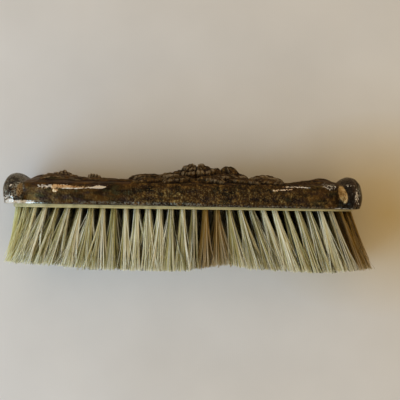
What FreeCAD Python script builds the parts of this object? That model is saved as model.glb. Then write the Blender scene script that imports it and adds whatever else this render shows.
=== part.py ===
"""Parametric model of a clothes brush: a stamped silver-plate back over hand-drawn bristle.

The brush is built in its bench frame: +X along its length, +Z up through the back, the face
that the bristles leave at Z = 0. At the end lay_down() turns every piece onto the side that the
brush lies on, with the origin on the table under the middle of the whole brush: then +X runs
along the brush, +Y from the bristle tips to the back, and +Z up from the table.
Lengths are in millimetres and angles in degrees.
"""

import FreeCAD
import Part
import math
import os

from FreeCAD import Placement, Rotation, Vector
from Sketcher import Constraint

# alias, value, what it is: every row becomes one cell of the spreadsheet "dims"
DIMENSIONS = (
    ("shell_length", 178.0, "silver back, end to end"),
    ("shell_width", 50.0, "silver back across its widest ridges, where it touches the table"),
    ("sheet_gauge", 0.5, "thickness of the stamped sheet"),
    ("crown_height", 14.4, "plain crown of the back above the bristle face, at mid length"),
    ("ridge_drop", 5.0, "widest line of the side wall below the crown"),
    ("ridge_from_end", 39.0, "where the back is widest, from each end"),
    ("waist", 0.7, "how much each side draws in at mid length"),
    ("rim_inset", 1.7, "rim in from the ridge, each side"),
    ("rim_lift", 1.6, "edge of the bristle board left showing under the rim, at mid length"),
    ("rim_tilt", 0.3, "how far the rim dips towards +X, because the shell has slipped"),
    ("shoulder_radius", 3.0, "rounding between the ridge and the crown"),
    ("swell_from_end", 20.0, "where the back swells before the groove, from each end"),
    ("swell_rise", 1.3, "height of that swell above the crown"),
    ("swell_inset", 1.6, "side of the swell in from the ridge"),
    ("groove_from_end", 13.4, "groove between the back and its end lobe, from each end"),
    ("groove_inset", 4.2, "side of the groove in from the ridge"),
    ("root_inset", 5.8, "end of the back, buried in the lobe, in from the ridge"),
    ("root_drop", 0.8, "crown of that end below the crown at mid length"),
    ("ridge_crown_drop", 0.6, "crown over the widest ridges below the crown at mid length"),
    ("lobe_half_length", 10.0, "end lobe along the brush, from its centre"),
    ("lobe_inset", 1.0, "side of the end lobe in from the ridge"),
    ("lobe_centre_height", 3.5, "centre of the end lobe above the bristle face"),
    ("lobe_rise", 2.5, "top of the end lobe above the crown"),
    ("end_overhang", 5.0, "silver back past the bristle board, each end"),
    ("side_overhang", 3.5, "ridge past the bristle board, each side"),
    ("board_thickness", 5.6, "bored board that holds the bristle"),
    ("board_edge", 0.5, "rounding of the bored board's lower edge"),
    ("cover_thickness", 3.0, "board glued over the wire"),
    ("cover_inset", 1.0, "edge of the cover board in from the bored board"),
    ("pitch_gap", 0.15, "shrinkage of the set pitch, off the shell and the boards"),
    ("pitch_recess", 0.4, "pitch set back from the rim"),
    ("tuft_pitch", 5.35, "holes along a row"),
    ("ring_inset", 2.3, "outer ring of holes in from the edge of the board"),
    ("hole_diameter", 2.7, "hole that takes a tuft"),
    ("hole_web", 1.6, "wood left over each hole, between the tuft and the cover board"),
    ("tuft_clearance", 0.05, "tuft off the wall of its hole"),
    ("tip_gap", 0.85, "space that the spread tips leave in the closest spacing of the holes"),
    ("spread_waist", 0.35, "how much less far the outer tufts reach sideways at mid length"),
    ("bristle_length", 29.4, "longest bristle below the board"),
    ("left_wear", 2.8, "bristle worn off towards the -X end"),
    ("right_wear", 1.1, "bristle worn off towards the +X end"),
    ("parting_wear", 2.7, "bristle worn off at the parting"),
    ("parting_at", 20.0, "parting of the bristle, from mid length"),
    ("parting_reach", 9.0, "half the width of the worn parting"),
    ("left_lean", 8.0, "tips pushed over towards -X"),
    ("right_lean", 9.4, "tips pushed over towards +X"),
    ("left_lean_start", -28.0, "where the tips begin to lean towards -X"),
    ("left_lean_full", -60.0, "where they lean most"),
    ("right_lean_start", 11.0, "where the tips begin to lean towards +X"),
    ("right_lean_full", 32.0, "where they lean most"),
    ("end_relief", 3.4, "lean that the last tufts of the -X end lack"),
    ("end_relief_reach", 20.0, "how far in from that end they lack it"),
    ("wire_radius", 0.3, "brass drawing wire"),
    ("wire_clearance", 0.15, "wire off the walls and the floor of its groove"),
    ("wire_cover", 0.05, "top of the wire below the cover board"),
    ("stitch_radius", 0.27, "the two legs of a stitch, twisted together"),
    ("stitch_clearance", 0.08, "stitch off the wall of its hole"),
)

# The raised ornament of the back, as round bosses: name, distance along the brush, distance across
# it, radius of the ball it is a cap of, height over the crown. Anchor "mid" counts from mid length
# and "left" from the -X end.
ORNAMENTS = (
    ("long_leaf", "mid", -17.5, 0.5, 13.6, 2.6),
    ("bloom", "mid", 5.0, 0.0, 11.0, 8.4),
    ("poppy_bud", "mid", 22.6, -0.5, 6.6, 6.9),
    ("curled_leaf", "mid", 40.4, 0.5, 11.6, 3.2),
    ("small_bloom", "left", 29.2, -0.5, 9.5, 4.4),
    ("small_bud", "left", 44.0, 1.0, 4.2, 2.9),
)

RINGS = ("outer", "second", "third", "inner")  # rings of tufts, from the edge of the board inwards
SPACINGS = len(RINGS) - 0.5  # from the middle line, which the inner ring clears by half a spacing

BOARD_RADIUS = "(dims.shell_width / 2 - dims.side_overhang)"
BOARD_HALF_STRAIGHT = f"(dims.shell_length / 2 - dims.end_overhang - {BOARD_RADIUS})"
HOLE_DEPTH = "(dims.board_thickness - dims.hole_web)"

doc = FreeCAD.newDocument("clothes_brush")


def fill_sheet():
    """The spreadsheet of driving dimensions: name, value under an alias, meaning."""
    dims = doc.addObject("Spreadsheet::Sheet", "dims")
    rows = list(DIMENSIONS)
    for name, anchor, along, across, ball_radius, rise in ORNAMENTS:
        start = "the -X end" if anchor == "left" else "mid length"
        rows.append((f"{name}_along", along, f"{name} from {start}"))
        rows.append((f"{name}_across", across, f"{name} from the middle line"))
        rows.append((f"{name}_radius", ball_radius, f"ball that {name} is a cap of"))
        rows.append((f"{name}_rise", rise, f"{name} above the crown"))
    for row, (alias, value, meaning) in enumerate(rows, start=1):
        dims.set(f"A{row}", alias)
        dims.set(f"B{row}", str(value))
        dims.set(f"C{row}", meaning)
        dims.setAlias(f"B{row}", alias)
    doc.recompute()
    return dims


sheet = fill_sheet()


def size(alias):
    """A driving dimension as a number."""
    return float(sheet.get(alias))


def origin_plane(body, role):
    """One of a body's own origin planes."""
    return next(f for f in body.Origin.OriginFeatures if f.Role == role)


def new_body(label):
    body = doc.addObject("PartDesign::Body", label)
    body.Label = label
    return body


def new_sketch(body, name, role, height="0"):
    """A sketch on one of the body's origin planes, lifted off it by an expression."""
    sketch = body.newObject("Sketcher::SketchObject", name)
    sketch.AttachmentSupport = (origin_plane(body, role), [""])
    sketch.MapMode = "FlatFace"
    sketch.AttachmentOffset = Placement(Vector(), Rotation(Vector(0, 1, 0), 0))
    sketch.setExpression("AttachmentOffset.Base.z", height)
    return sketch


def bind(sketch, label, constraint, expression):
    """Adds a named dimension whose value is an expression."""
    index = sketch.addConstraint(constraint)
    sketch.renameConstraint(index, label)
    sketch.setExpression(f"Constraints.{label}", expression)


# ---- the silver back, its hollow, and the pitch that fills it ----


def arch_sketch(body, name, station, inset, rise, skin):
    """A cross-section of the back, drawn inside the true outline by the thickness skin: a flat foot,
    walls that curve out to upright ridges, round shoulders and a crown that flows out of them.
    It is first drawn roughly, and its constraints then pull it to shape. station, inset, rise and
    skin are expressions."""
    sketch = new_sketch(body, name, "YZ_Plane", station)
    foot, wide, ridge, edge, shoulder, tall = 22.0, 24.0, 9.4, 21.2, 12.2, 14.0
    ground = Part.LineSegment(Vector(-foot, 0, 0), Vector(foot, 0, 0))
    dome = Part.Arc(Vector(edge, shoulder, 0), Vector(0, tall, 0), Vector(-edge, shoulder, 0))
    arcs = []
    for side in (1, -1):
        low, bulge = Vector(side * foot, 0, 0), Vector(side * (wide - 0.4), ridge - 4.7, 0)
        widest, turn = Vector(side * wide, ridge, 0), Vector(side * (wide - 0.8), ridge + 2.1, 0)
        high = Vector(side * edge, shoulder, 0)
        arcs += [Part.Arc(low, bulge, widest), Part.Arc(widest, turn, high)]
    sketch.addGeometry([ground, dome, *arcs])
    sketch.addGeometry(Part.Point(Vector(0, tall, 0)), True)
    line, top, right_wall, right_turn, left_wall, left_turn, crown_point = range(7)
    start, end, centre, x_axis, y_axis = 1, 2, 3, -1, -2
    sketch.addConstraint(
        [
            Constraint("Coincident", line, end, right_wall, start),
            Constraint("Tangent", right_wall, end, right_turn, start),
            Constraint("Tangent", right_turn, end, top, start),
            Constraint("Coincident", top, end, left_turn, start),
            Constraint("Tangent", left_turn, end, left_wall, start),
            Constraint("Coincident", left_wall, end, line, start),
            Constraint("PointOnObject", line, start, x_axis),
            Constraint("Symmetric", line, start, line, end, y_axis),
            Constraint("Symmetric", left_wall, start, right_wall, end, y_axis),
            Constraint("Symmetric", top, start, top, end, y_axis),
            Constraint("Horizontal", right_wall, centre, right_wall, end),
            Constraint("Horizontal", left_wall, centre, left_wall, start),
            Constraint("PointOnObject", crown_point, start, top),
            Constraint("PointOnObject", crown_point, start, y_axis),
        ]
    )
    inner = f"dims.shell_width / 2 - ({inset}) - ({skin})"
    crown = f"dims.crown_height + ({rise}) - ({skin})"
    for label, constraint, expression in (
        ("foot_out", Constraint("DistanceX", line, end, foot), f"{inner} - dims.rim_inset"),
        ("ridge_out", Constraint("DistanceX", right_wall, end, wide), inner),
        ("ridge_up", Constraint("DistanceY", right_wall, end, ridge), "dims.crown_height - dims.ridge_drop"),
        ("shoulder_radius", Constraint("Radius", right_turn, 3.0), f"dims.shoulder_radius - ({skin})"),
        ("crown_up", Constraint("DistanceY", crown_point, start, tall), crown),
    ):
        bind(sketch, label, constraint, expression)
    return sketch


def stations():
    """The cross-sections of the back from end to end: name, distance along, how far the side lies in
    from the ridge and how far the crown lies above its height at mid length. From the waist at mid
    length the back widens evenly to the ridges, then it swells, and is drawn in at the grooves."""
    ridge = "(dims.shell_length / 2 - dims.ridge_from_end)"
    side = [
        (f"flank_{n}", f"{ridge} * {share}", f"dims.waist * {1 - share}", f"-dims.ridge_crown_drop * {share}")
        for n, share in ((1, 0.3), (2, 0.6), (3, 0.8))
    ]
    swelling = "dims.shell_length / 2 - (dims.ridge_from_end + dims.swell_from_end) / 2"
    side += [
        ("ridge", ridge, "0", "-dims.ridge_crown_drop"),
        ("swelling", swelling, "dims.swell_inset / 3", "dims.swell_rise / 4"),
        ("swell", "dims.shell_length / 2 - dims.swell_from_end", "dims.swell_inset", "dims.swell_rise"),
        ("groove", "dims.shell_length / 2 - dims.groove_from_end", "dims.groove_inset", "0"),
        ("root", "dims.shell_length / 2 - dims.lobe_half_length", "dims.root_inset", "-dims.root_drop"),
    ]
    left = [(f"{name}_left", f"-({along})", inset, rise) for name, along, inset, rise in reversed(side)]
    right = [(f"{name}_right", along, inset, rise) for name, along, inset, rise in side]
    return [*left, ("waist", "0", "dims.waist", "0"), *right]


def rounded(body, kind, name, centre, sizes):
    """An ellipsoid or a sphere. centre is x, y, z and sizes is property to size, all expressions."""
    feature = body.newObject(f"PartDesign::{kind}", name)
    feature.Angle1 = -90
    for axis, expression in zip("xyz", centre):
        feature.setExpression(f"Placement.Base.{axis}", expression)
    for prop, expression in sizes.items():
        feature.setExpression(prop, expression)


def back_form(body, kind, tag, skin):
    """The whole rounded form of the back, taken in by skin: lofted body, two end lobes, ornament."""
    sketches = [
        arch_sketch(body, f"{tag}_{name}", along, inset, rise, skin)
        for name, along, inset, rise in stations()
    ]
    loft = body.newObject(f"PartDesign::{kind}Loft", f"{tag}_loft")
    loft.Profile = sketches[0]
    loft.Sections = sketches[1:]
    lobe_along = "(dims.shell_length / 2 - dims.lobe_half_length)"
    lobe = {
        "Radius2": f"dims.lobe_half_length - ({skin})",
        "Radius3": f"dims.shell_width / 2 - dims.lobe_inset - ({skin})",
        "Radius1": f"dims.crown_height + dims.lobe_rise - dims.lobe_centre_height - ({skin})",
    }
    for side, sign in (("left", "-"), ("right", "")):
        centre = (f"{sign}{lobe_along}", "0", "dims.lobe_centre_height")
        rounded(body, f"{kind}Ellipsoid", f"{tag}_lobe_{side}", centre, lobe)
    for name, anchor, *_ in ORNAMENTS:
        shift = " - dims.shell_length / 2" if anchor == "left" else ""
        height = f"dims.crown_height + dims.{name}_rise - dims.{name}_radius"
        centre = (f"dims.{name}_along{shift}", f"dims.{name}_across", height)
        rounded(body, f"{kind}Sphere", f"{tag}_{name}", centre, {"Radius": f"dims.{name}_radius - ({skin})"})


def trim_below_rim(body, recess):
    """Cuts away what is below the rim plane, which is lifted off the bristle face and tilted."""
    sketch = new_sketch(body, f"{body.Label}_rim", "XY_Plane", f"dims.rim_lift + ({recess})")
    sketch.setExpression("AttachmentOffset.Rotation.Angle", "dims.rim_tilt")
    long, wide = size("shell_length"), size("shell_width")
    corners = [Vector(x * long, y * wide, 0) for x, y in ((-1, -1), (1, -1), (1, 1), (-1, 1))]
    for index, corner in enumerate(corners):
        sketch.addGeometry(Part.LineSegment(corner, corners[(index + 1) % 4]))
    cut = body.newObject("PartDesign::Pocket", f"{body.Label}_below_rim")
    cut.Profile = sketch
    cut.setExpression("Length", "dims.shell_width")


def silver_back():
    body = new_body("silver_back")
    back_form(body, "Additive", "shell", "0")
    trim_below_rim(body, "0")
    back_form(body, "Subtractive", "hollow", "dims.sheet_gauge")
    return body


def pitch_filling():
    """The pitch poured into the shell around the two boards."""
    body = new_body("pitch_filling")
    back_form(body, "Additive", "pitch", "dims.sheet_gauge + dims.pitch_gap")
    trim_below_rim(body, "dims.pitch_recess")
    seat = new_sketch(body, "board_seat", "XY_Plane")
    stadium(seat, "seat", f"{BOARD_RADIUS} + dims.pitch_gap", board_radius())
    pocket = body.newObject("PartDesign::Pocket", "seat_for_boards")
    pocket.Profile = seat
    pocket.Reversed = True
    pocket.setExpression("Length", "dims.board_thickness + dims.cover_thickness")
    return body


# ---- the two wooden boards and the pattern of holes ----


def board_radius():
    """Radius of the board's round ends, which is half its width."""
    return size("shell_width") / 2 - size("side_overhang")


def board_half_straight():
    """Half the straight part of the board's sides."""
    return size("shell_length") / 2 - size("end_overhang") - board_radius()


def stadium(sketch, label, radius, drawn_radius):
    """Two straight sides, as long as the board's, and two half-round ends whose radius is an
    expression. It is drawn close to that radius, so that the dimensions only adjust it."""
    a, r = board_half_straight(), drawn_radius
    first = sketch.GeometryCount
    sketch.addGeometry(
        [
            Part.LineSegment(Vector(-a, -r, 0), Vector(a, -r, 0)),
            Part.Arc(Vector(a, -r, 0), Vector(a + r, 0, 0), Vector(a, r, 0)),
            Part.LineSegment(Vector(a, r, 0), Vector(-a, r, 0)),
            Part.Arc(Vector(-a, r, 0), Vector(-a - r, 0, 0), Vector(-a, -r, 0)),
        ]
    )
    front, right, back, left = range(first, first + 4)
    start, end, centre, axes, origin = 1, 2, 3, -1, 1
    sketch.addConstraint(
        [
            Constraint("Tangent", front, end, right, start),
            Constraint("Tangent", right, end, back, start),
            Constraint("Tangent", back, end, left, start),
            Constraint("Tangent", left, end, front, start),
            Constraint("Symmetric", left, centre, right, centre, axes, origin),
            Constraint("PointOnObject", right, centre, axes),
            Constraint("Horizontal", front),
        ]
    )
    bind(sketch, f"{label}_straight", Constraint("DistanceX", right, centre, a), BOARD_HALF_STRAIGHT)
    bind(sketch, f"{label}_radius", Constraint("Radius", right, r), radius)


def ring_share(ring):
    """Distance of a ring from the middle line, as a share of the outer ring's. The rings are evenly
    spaced across the board."""
    return 1 - ring / SPACINGS


def ring_radius(ring):
    return ring_share(ring) * (board_radius() - size("ring_inset"))


def ring_radius_expression(ring):
    return f"({BOARD_RADIUS} - dims.ring_inset) * {ring_share(ring)}"


def row_spacing():
    """Spacing of the rings across the board."""
    return ring_radius(0) / SPACINGS


def column_spacing():
    """Spacing of the holes along the straight sides: the pitch, made to divide them evenly."""
    straight = 2 * board_half_straight()
    return straight / round(straight / size("tuft_pitch"))


def ring_holes(ring):
    """The holes of a ring as (x, y), anticlockwise from its +X end: in columns along the straight
    sides, in line with the other rings, and evenly round each end."""
    radius, half, spacing = ring_radius(ring), board_half_straight(), column_spacing()
    columns = round(2 * half / spacing)
    steps = max(1, math.floor(math.pi * radius / size("tuft_pitch")))
    line = [half - spacing * (n + 0.5) for n in range(columns)]
    turns = [math.pi * ((n + 0.5) / steps - 0.5) for n in range(steps)]
    right = [(half + radius * math.cos(t), radius * math.sin(t)) for t in turns]
    left = [(-x, -y) for x, y in right]
    back = [(x, radius) for x in line]
    front = [(-x, -radius) for x in line]
    return right + back + left + front


def all_holes():
    return [hole for ring in range(len(RINGS)) for hole in ring_holes(ring)]


def drill(body, name, height, upwards, depth, diameter):
    """A flat-bottomed hole at every tuft, from a plane at a height. height, depth and diameter are
    expressions."""
    marks = new_sketch(body, f"{name}_marks", "XY_Plane", height)
    marks.addGeometry([Part.Circle(Vector(x, y, 0), Vector(0, 0, 1), 0.5) for x, y in all_holes()])
    doc.recompute()
    hole = body.newObject("PartDesign::Hole", name)
    hole.Profile = marks
    hole.DepthType = "Dimension"
    hole.DrillPoint = "Flat"
    hole.Reversed = upwards
    hole.setExpression("Depth", depth)
    hole.setExpression("Diameter", diameter)
    doc.recompute()
    return hole


def bristle_board():
    """The bored board: its edge shows as the pale band under the silver."""
    body = new_body("bristle_board")
    outline = new_sketch(body, "board_outline", "XY_Plane")
    stadium(outline, "board", BOARD_RADIUS, board_radius())
    pad = body.newObject("PartDesign::Pad", "board_pad")
    pad.Profile = outline
    pad.setExpression("Length", "dims.board_thickness")
    doc.recompute()
    lower_edges = [
        f"Edge{n}"
        for n, edge in enumerate(pad.Shape.Edges, start=1)
        if abs(edge.BoundBox.ZMin) < 1e-6 and abs(edge.BoundBox.ZMax) < 1e-6
    ]
    rounding = body.newObject("PartDesign::Fillet", "lower_edge")
    rounding.Base = (pad, lower_edges)
    rounding.setExpression("Radius", "dims.board_edge")
    doc.recompute()
    drill(body, "tuft_holes", "0", True, HOLE_DEPTH, "dims.hole_diameter")
    stitch_hole = "2 * (dims.stitch_radius + dims.stitch_clearance)"
    drill(body, "stitch_holes", "dims.board_thickness", False, "dims.hole_web", stitch_hole)
    for ring, name in enumerate(RINGS):
        track = new_sketch(body, f"{name}_track", "XY_Plane", "dims.board_thickness")
        for edge, sign in (("inside", "-"), ("outside", "+")):
            radius = f"{ring_radius_expression(ring)} {sign} (dims.wire_radius + dims.wire_clearance)"
            stadium(track, edge, radius, ring_radius(ring) + float(f"{sign}{size('wire_radius')}"))
        groove = body.newObject("PartDesign::Pocket", f"{name}_groove")
        groove.Profile = track
        groove.setExpression("Length", "dims.wire_cover + 2 * dims.wire_radius + dims.wire_clearance")
        doc.recompute()
    return body


def cover_board():
    """The board glued over the wire."""
    body = new_body("cover_board")
    outline = new_sketch(body, "cover_outline", "XY_Plane", "dims.board_thickness")
    stadium(outline, "cover", f"{BOARD_RADIUS} - dims.cover_inset", board_radius())
    pad = body.newObject("PartDesign::Pad", "cover_pad")
    pad.Profile = outline
    pad.setExpression("Length", "dims.cover_thickness")
    return body


# ---- the wire that draws the tufts in ----


def drawing_wire(ring, name):
    """One wire laid round a ring in its groove, with a stitch down to every tuft."""
    height = "dims.board_thickness - dims.wire_cover - dims.wire_radius"
    pieces = []
    for side, sign, turn in (("right", "", -90), ("left", "-", 90)):
        bend = doc.addObject("Part::Torus", f"{name}_bend_{side}")
        bend.Placement = Placement(Vector(), Rotation(Vector(0, 0, 1), turn))
        bend.Angle3 = 180
        bend.setExpression("Radius1", ring_radius_expression(ring))
        bend.setExpression("Radius2", "dims.wire_radius")
        bend.setExpression("Placement.Base.x", f"{sign}{BOARD_HALF_STRAIGHT}")
        bend.setExpression("Placement.Base.z", height)
        pieces.append(bend)
    for side, sign in (("front", "-"), ("back", "")):
        run = doc.addObject("Part::Cylinder", f"{name}_run_{side}")
        run.Placement = Placement(Vector(), Rotation(Vector(0, 1, 0), 90))
        run.setExpression("Radius", "dims.wire_radius")
        run.setExpression("Height", f"2 * {BOARD_HALF_STRAIGHT}")
        run.setExpression("Placement.Base.x", f"-{BOARD_HALF_STRAIGHT}")
        run.setExpression("Placement.Base.y", f"{sign}{ring_radius_expression(ring)}")
        run.setExpression("Placement.Base.z", height)
        pieces.append(run)
    marks = doc.addObject("Sketcher::SketchObject", f"{name}_stitch_marks")
    marks.addGeometry(
        [Part.Circle(Vector(x, y, 0), Vector(0, 0, 1), size("stitch_radius")) for x, y in ring_holes(ring)]
    )
    marks.setExpression("Placement.Base.z", HOLE_DEPTH)
    stitches = doc.addObject("Part::Extrusion", f"{name}_stitches")
    stitches.Base = marks
    stitches.DirMode = "Custom"
    stitches.Dir = Vector(0, 0, 1)
    stitches.Solid = True
    stitches.setExpression("LengthFwd", f"{height} - {HOLE_DEPTH}")
    wire = doc.addObject("Part::MultiFuse", f"drawing_wire_{name}")
    wire.Label = f"drawing_wire_{name}"
    wire.Shapes = [*pieces, stitches]
    return wire


# ---- the tufts ----


def ease(x):
    """0 below 0, 1 above 1, and smooth between."""
    x = min(1.0, max(0.0, x))
    return x * x * (3 - 2 * x)


def tip_radius():
    """Half the width of a tuft at its tip, where it all but fills the closest spacing of the holes."""
    return (min(column_spacing(), row_spacing()) - size("tip_gap")) / 2


def tip_of(x, y):
    """Where the tuft from hole (x, y) ends: pushed over along the brush by use, spread across it
    until the outer tufts near both ends reach as wide as the ridges of the shell, and worn to length."""
    left = ease((x - size("left_lean_start")) / (size("left_lean_full") - size("left_lean_start")))
    right = ease((x - size("right_lean_start")) / (size("right_lean_full") - size("right_lean_start")))
    last = ring_radius(0) + board_half_straight()
    relief = max(0.0, 1 - (x + last) / size("end_relief_reach"))
    lean = size("right_lean") * right - size("left_lean") * left + size("end_relief") * relief
    drawn_in = size("spread_waist") * max(0.0, 1 - (x / board_half_straight()) ** 2)
    spread = (size("shell_width") / 2 - tip_radius() - drawn_in) / ring_radius(0)
    parting = math.exp(-(((x - size("parting_at")) / size("parting_reach")) ** 2))
    ends = size("left_wear") * left + size("right_wear") * right
    worn = ends * (1 - parting) + size("parting_wear") * parting
    return Vector(x + lean, y * spread, worn - size("bristle_length"))


def tuft(x, y):
    """One tuft: a plug of folded bristle in its hole, then a cone that leans and widens to its tip."""
    plug = size("hole_diameter") / 2 - size("tuft_clearance")
    hole_depth = size("board_thickness") - size("hole_web")
    up = Vector(0, 0, 1)
    rings = (
        (plug, Vector(x, y, hole_depth)),
        (plug, Vector(x, y, 0)),
        (tip_radius(), tip_of(x, y)),
    )
    wires = [Part.Wire(Part.makeCircle(radius, centre, up)) for radius, centre in rings]
    return Part.makeLoft(wires, True, True)


def tuft_row(ring, name, side):
    """The tufts on one side of a ring, as one group of separate solids. Every tuft leans by its own
    amount, so the group is made here and not as a pattern."""
    rows = [(x, y) for x, y in ring_holes(ring) if (y < -1e-6) == (side == "front")]
    group = doc.addObject("Part::Feature", f"tufts_{name}_{side}")
    group.Label = f"tufts_{name}_{side}"
    group.Shape = Part.makeCompound([tuft(x, y) for x, y in rows])
    return group


def lay_down(pieces):
    """Turns the brush onto its side and moves the origin to the table under its middle."""
    on_side = Placement(Vector(), Rotation(Vector(1, 0, 0), -90))
    for piece in pieces:
        piece.Placement = on_side.multiply(piece.Placement)
    doc.recompute()
    box = FreeCAD.BoundBox()
    for piece in pieces:
        box.add(piece.Shape.optimalBoundingBox(False))
    to_table = Placement(Vector(-box.Center.x, -box.Center.y, -box.ZMin), Rotation())
    for piece in pieces:
        piece.Placement = to_table.multiply(piece.Placement)
    doc.recompute()


def check(pieces):
    """Stops the build if a feature failed or a piece is not a sound solid."""
    for item in doc.Objects:
        if "Invalid" in item.State or "Error" in item.State:
            raise RuntimeError(f"{item.Name} failed to build: {item.State}")
    for piece in pieces:
        if piece.Shape.isNull() or not piece.Shape.isValid() or not piece.Shape.Solids:
            raise RuntimeError(f"{piece.Label} is not a sound solid")


def export(pieces):
    os.makedirs("parts", exist_ok=True)
    for piece in pieces:
        piece.Shape.exportStep(os.path.join("parts", f"{piece.Label}.step"))
        print(f"{piece.Label}: {len(piece.Shape.Solids)} solids, {piece.Shape.Volume:.1f} mm3")


def build():
    pieces = [silver_back(), pitch_filling(), bristle_board(), cover_board()]
    for ring, name in enumerate(RINGS):
        pieces.append(drawing_wire(ring, name))
        for side in ("front", "back"):
            pieces.append(tuft_row(ring, name, side))
    doc.recompute()
    lay_down(pieces)
    check(pieces)
    export(pieces)


build()
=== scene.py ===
"""Clothes brush with a stamped silver back, lying on its side: the looks of the part over its CAD frame.

Lengths in the formulas are millimetres in the brush's own directions: u runs along it, w out from
the face of the bristle board towards the crown of the back, and v across it, up from the table.
"""

import bpy
import numpy as np
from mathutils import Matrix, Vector


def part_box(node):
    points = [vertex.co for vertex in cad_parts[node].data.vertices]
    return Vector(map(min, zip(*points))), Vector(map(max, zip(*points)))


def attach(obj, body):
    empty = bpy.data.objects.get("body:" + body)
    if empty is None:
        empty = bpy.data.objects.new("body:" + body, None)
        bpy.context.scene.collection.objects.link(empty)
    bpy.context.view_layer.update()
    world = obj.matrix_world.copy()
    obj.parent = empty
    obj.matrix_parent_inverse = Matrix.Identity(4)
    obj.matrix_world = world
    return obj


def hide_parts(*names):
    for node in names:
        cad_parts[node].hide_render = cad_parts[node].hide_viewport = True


bl_info = {
    "name": "Silver-backed clothes brush",
    "version": (1, 0, 0),
    "blender": (4, 5, 0),
    "location": "3D View > Sidebar > Brush",
    "description": "Builds the stamped silver back, the bristle and the boards of a clothes brush",
    "category": "Object",
}

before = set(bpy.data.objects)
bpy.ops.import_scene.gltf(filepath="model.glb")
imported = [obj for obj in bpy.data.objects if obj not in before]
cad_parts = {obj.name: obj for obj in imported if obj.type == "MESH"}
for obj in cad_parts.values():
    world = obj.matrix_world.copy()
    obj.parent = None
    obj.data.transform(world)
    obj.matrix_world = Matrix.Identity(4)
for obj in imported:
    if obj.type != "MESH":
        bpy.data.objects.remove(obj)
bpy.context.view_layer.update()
BOARD_LOW, BOARD_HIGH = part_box("bristle_board")
# u = w = v = 0 in the row frame, in mm: the middle of the bristle face
MIDDLE = np.array([(BOARD_LOW.x + BOARD_HIGH.x) / 2, BOARD_LOW.y, (BOARD_LOW.z + BOARD_HIGH.z) / 2]) * 1000

SPINE_END = 79.0  # middle of each end lobe, from mid length
RIDGE_HEIGHT = 9.4  # w of the widest line of the back
SHOULDER = 3.0  # rounding between the wall and the crown
RIM_INSET = 1.7  # rim in from the ridge
RIM_LIFT, RIM_SLOPE = 1.4, -0.005236  # w of the rim at mid length, and its slope along u
LOBE_CENTRE, LOBE_UP, LOBE_DOWN = 3.5, 13.4, 4.2
LOBE_OUT, LOBE_IN, LOBE_ACROSS = 9.0, 8.5, 24.0
BOARD_RADIUS, SEAT_HEIGHT, PITCH_GAP = 21.5, 8.6, 0.15  # ends and height of the boards that sit in the pitch
HALF_STRAIGHT, OUTER_RADIUS = 62.5, 19.2  # straight half length and end radius of the outer ring of holes
HOLE_COLUMNS, HOLE_SPACING = 23, 5.35
BRISTLE_LENGTH, ROOT_HEIGHT = 29.4, 0.8  # the root is inside the hole
LEFT_TIP, RIGHT_TIP, SIDE_TIP = -84.8, 92.6, 24.9  # where the outline of the tips lies
LOCKS, STATIONS = 26, 7  # locks of bristle in a tuft, and points along a bristle
GOLDEN_TURN = 2.39996  # the golden angle in radians: turns by it never line up

# |u| and half width of the back along its ridge
SIDE_LINE = (
    (0, 24.3), (30, 24.72), (50, 25.0), (59.5, 24.47), (69, 23.2), (73.5, 21.2), (75.6, 20.2), (80, 18.6),
)
# u and height of the plain crown
CROWN_LINE = (
    (-80, 13.0), (-76.4, 13.9), (-69, 15.6), (-60, 14.7), (-50, 14.0), (-34, 14.4), (0, 14.4),
    (20, 14.3), (40, 13.8), (52, 13.2), (60, 13.9), (69, 15.5), (75.8, 14.0), (80, 13.0),
)
# u and w of the worn line that the bristle tips end on
TIP_LINE = (
    (-89, -26.0), (-72, -26.7), (-58, -27.3), (-44, -28.8), (-25, -29.1), (-1, -29.1), (8, -27.9),
    (20, -26.3), (34, -27.8), (46, -28.2), (61, -29.2), (80, -28.3), (93, -27.5),
)
# leaves of the ornament: height, (u, v) of the stem and of the point, half width, veins and bow
LEAVES = (
    (4.6, (23.5, 0.0), (33.0, 0.4), 4.2, 5, 0.0),
    (3.6, (-7.0, 0.5), (-27.5, 1.5), 5.6, 8, 1.0),
    (4.7, (3.0, 1.5), (-13.5, 5.0), 4.4, 6, -1.0),
    (3.6, (1.0, -3.0), (-14.0, -9.0), 4.4, 6, 1.0),
    (2.6, (-10.0, -5.0), (-26.0, -9.0), 3.8, 7, -1.2),
    (2.8, (-8.0, 9.0), (-25.0, 13.0), 3.8, 7, 1.2),
    (4.4, (11.0, 7.0), (28.0, 11.5), 4.8, 7, -1.0),
    (4.2, (11.0, -7.0), (28.5, -10.5), 4.8, 7, 1.0),
    (2.4, (32.0, 6.0), (48.0, 13.0), 4.0, 6, 1.0),
    (2.4, (32.0, -5.0), (48.0, -12.0), 4.0, 6, -1.0),
    (1.8, (-51.0, 2.0), (-67.0, 9.5), 4.2, 6, -1.0),
    (1.7, (-51.0, -2.0), (-68.0, -9.0), 4.2, 6, 1.0),
    (1.0, (-65.0, 0.0), (-75.5, 0.0), 4.8, 5, 0.0),
    (0.7, (-41.5, 0.0), (-32.0, 0.0), 2.6, 5, 0.0),
    (1.0, (57.0, 0.0), (73.5, 0.0), 5.6, 6, 0.0),
)
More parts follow.
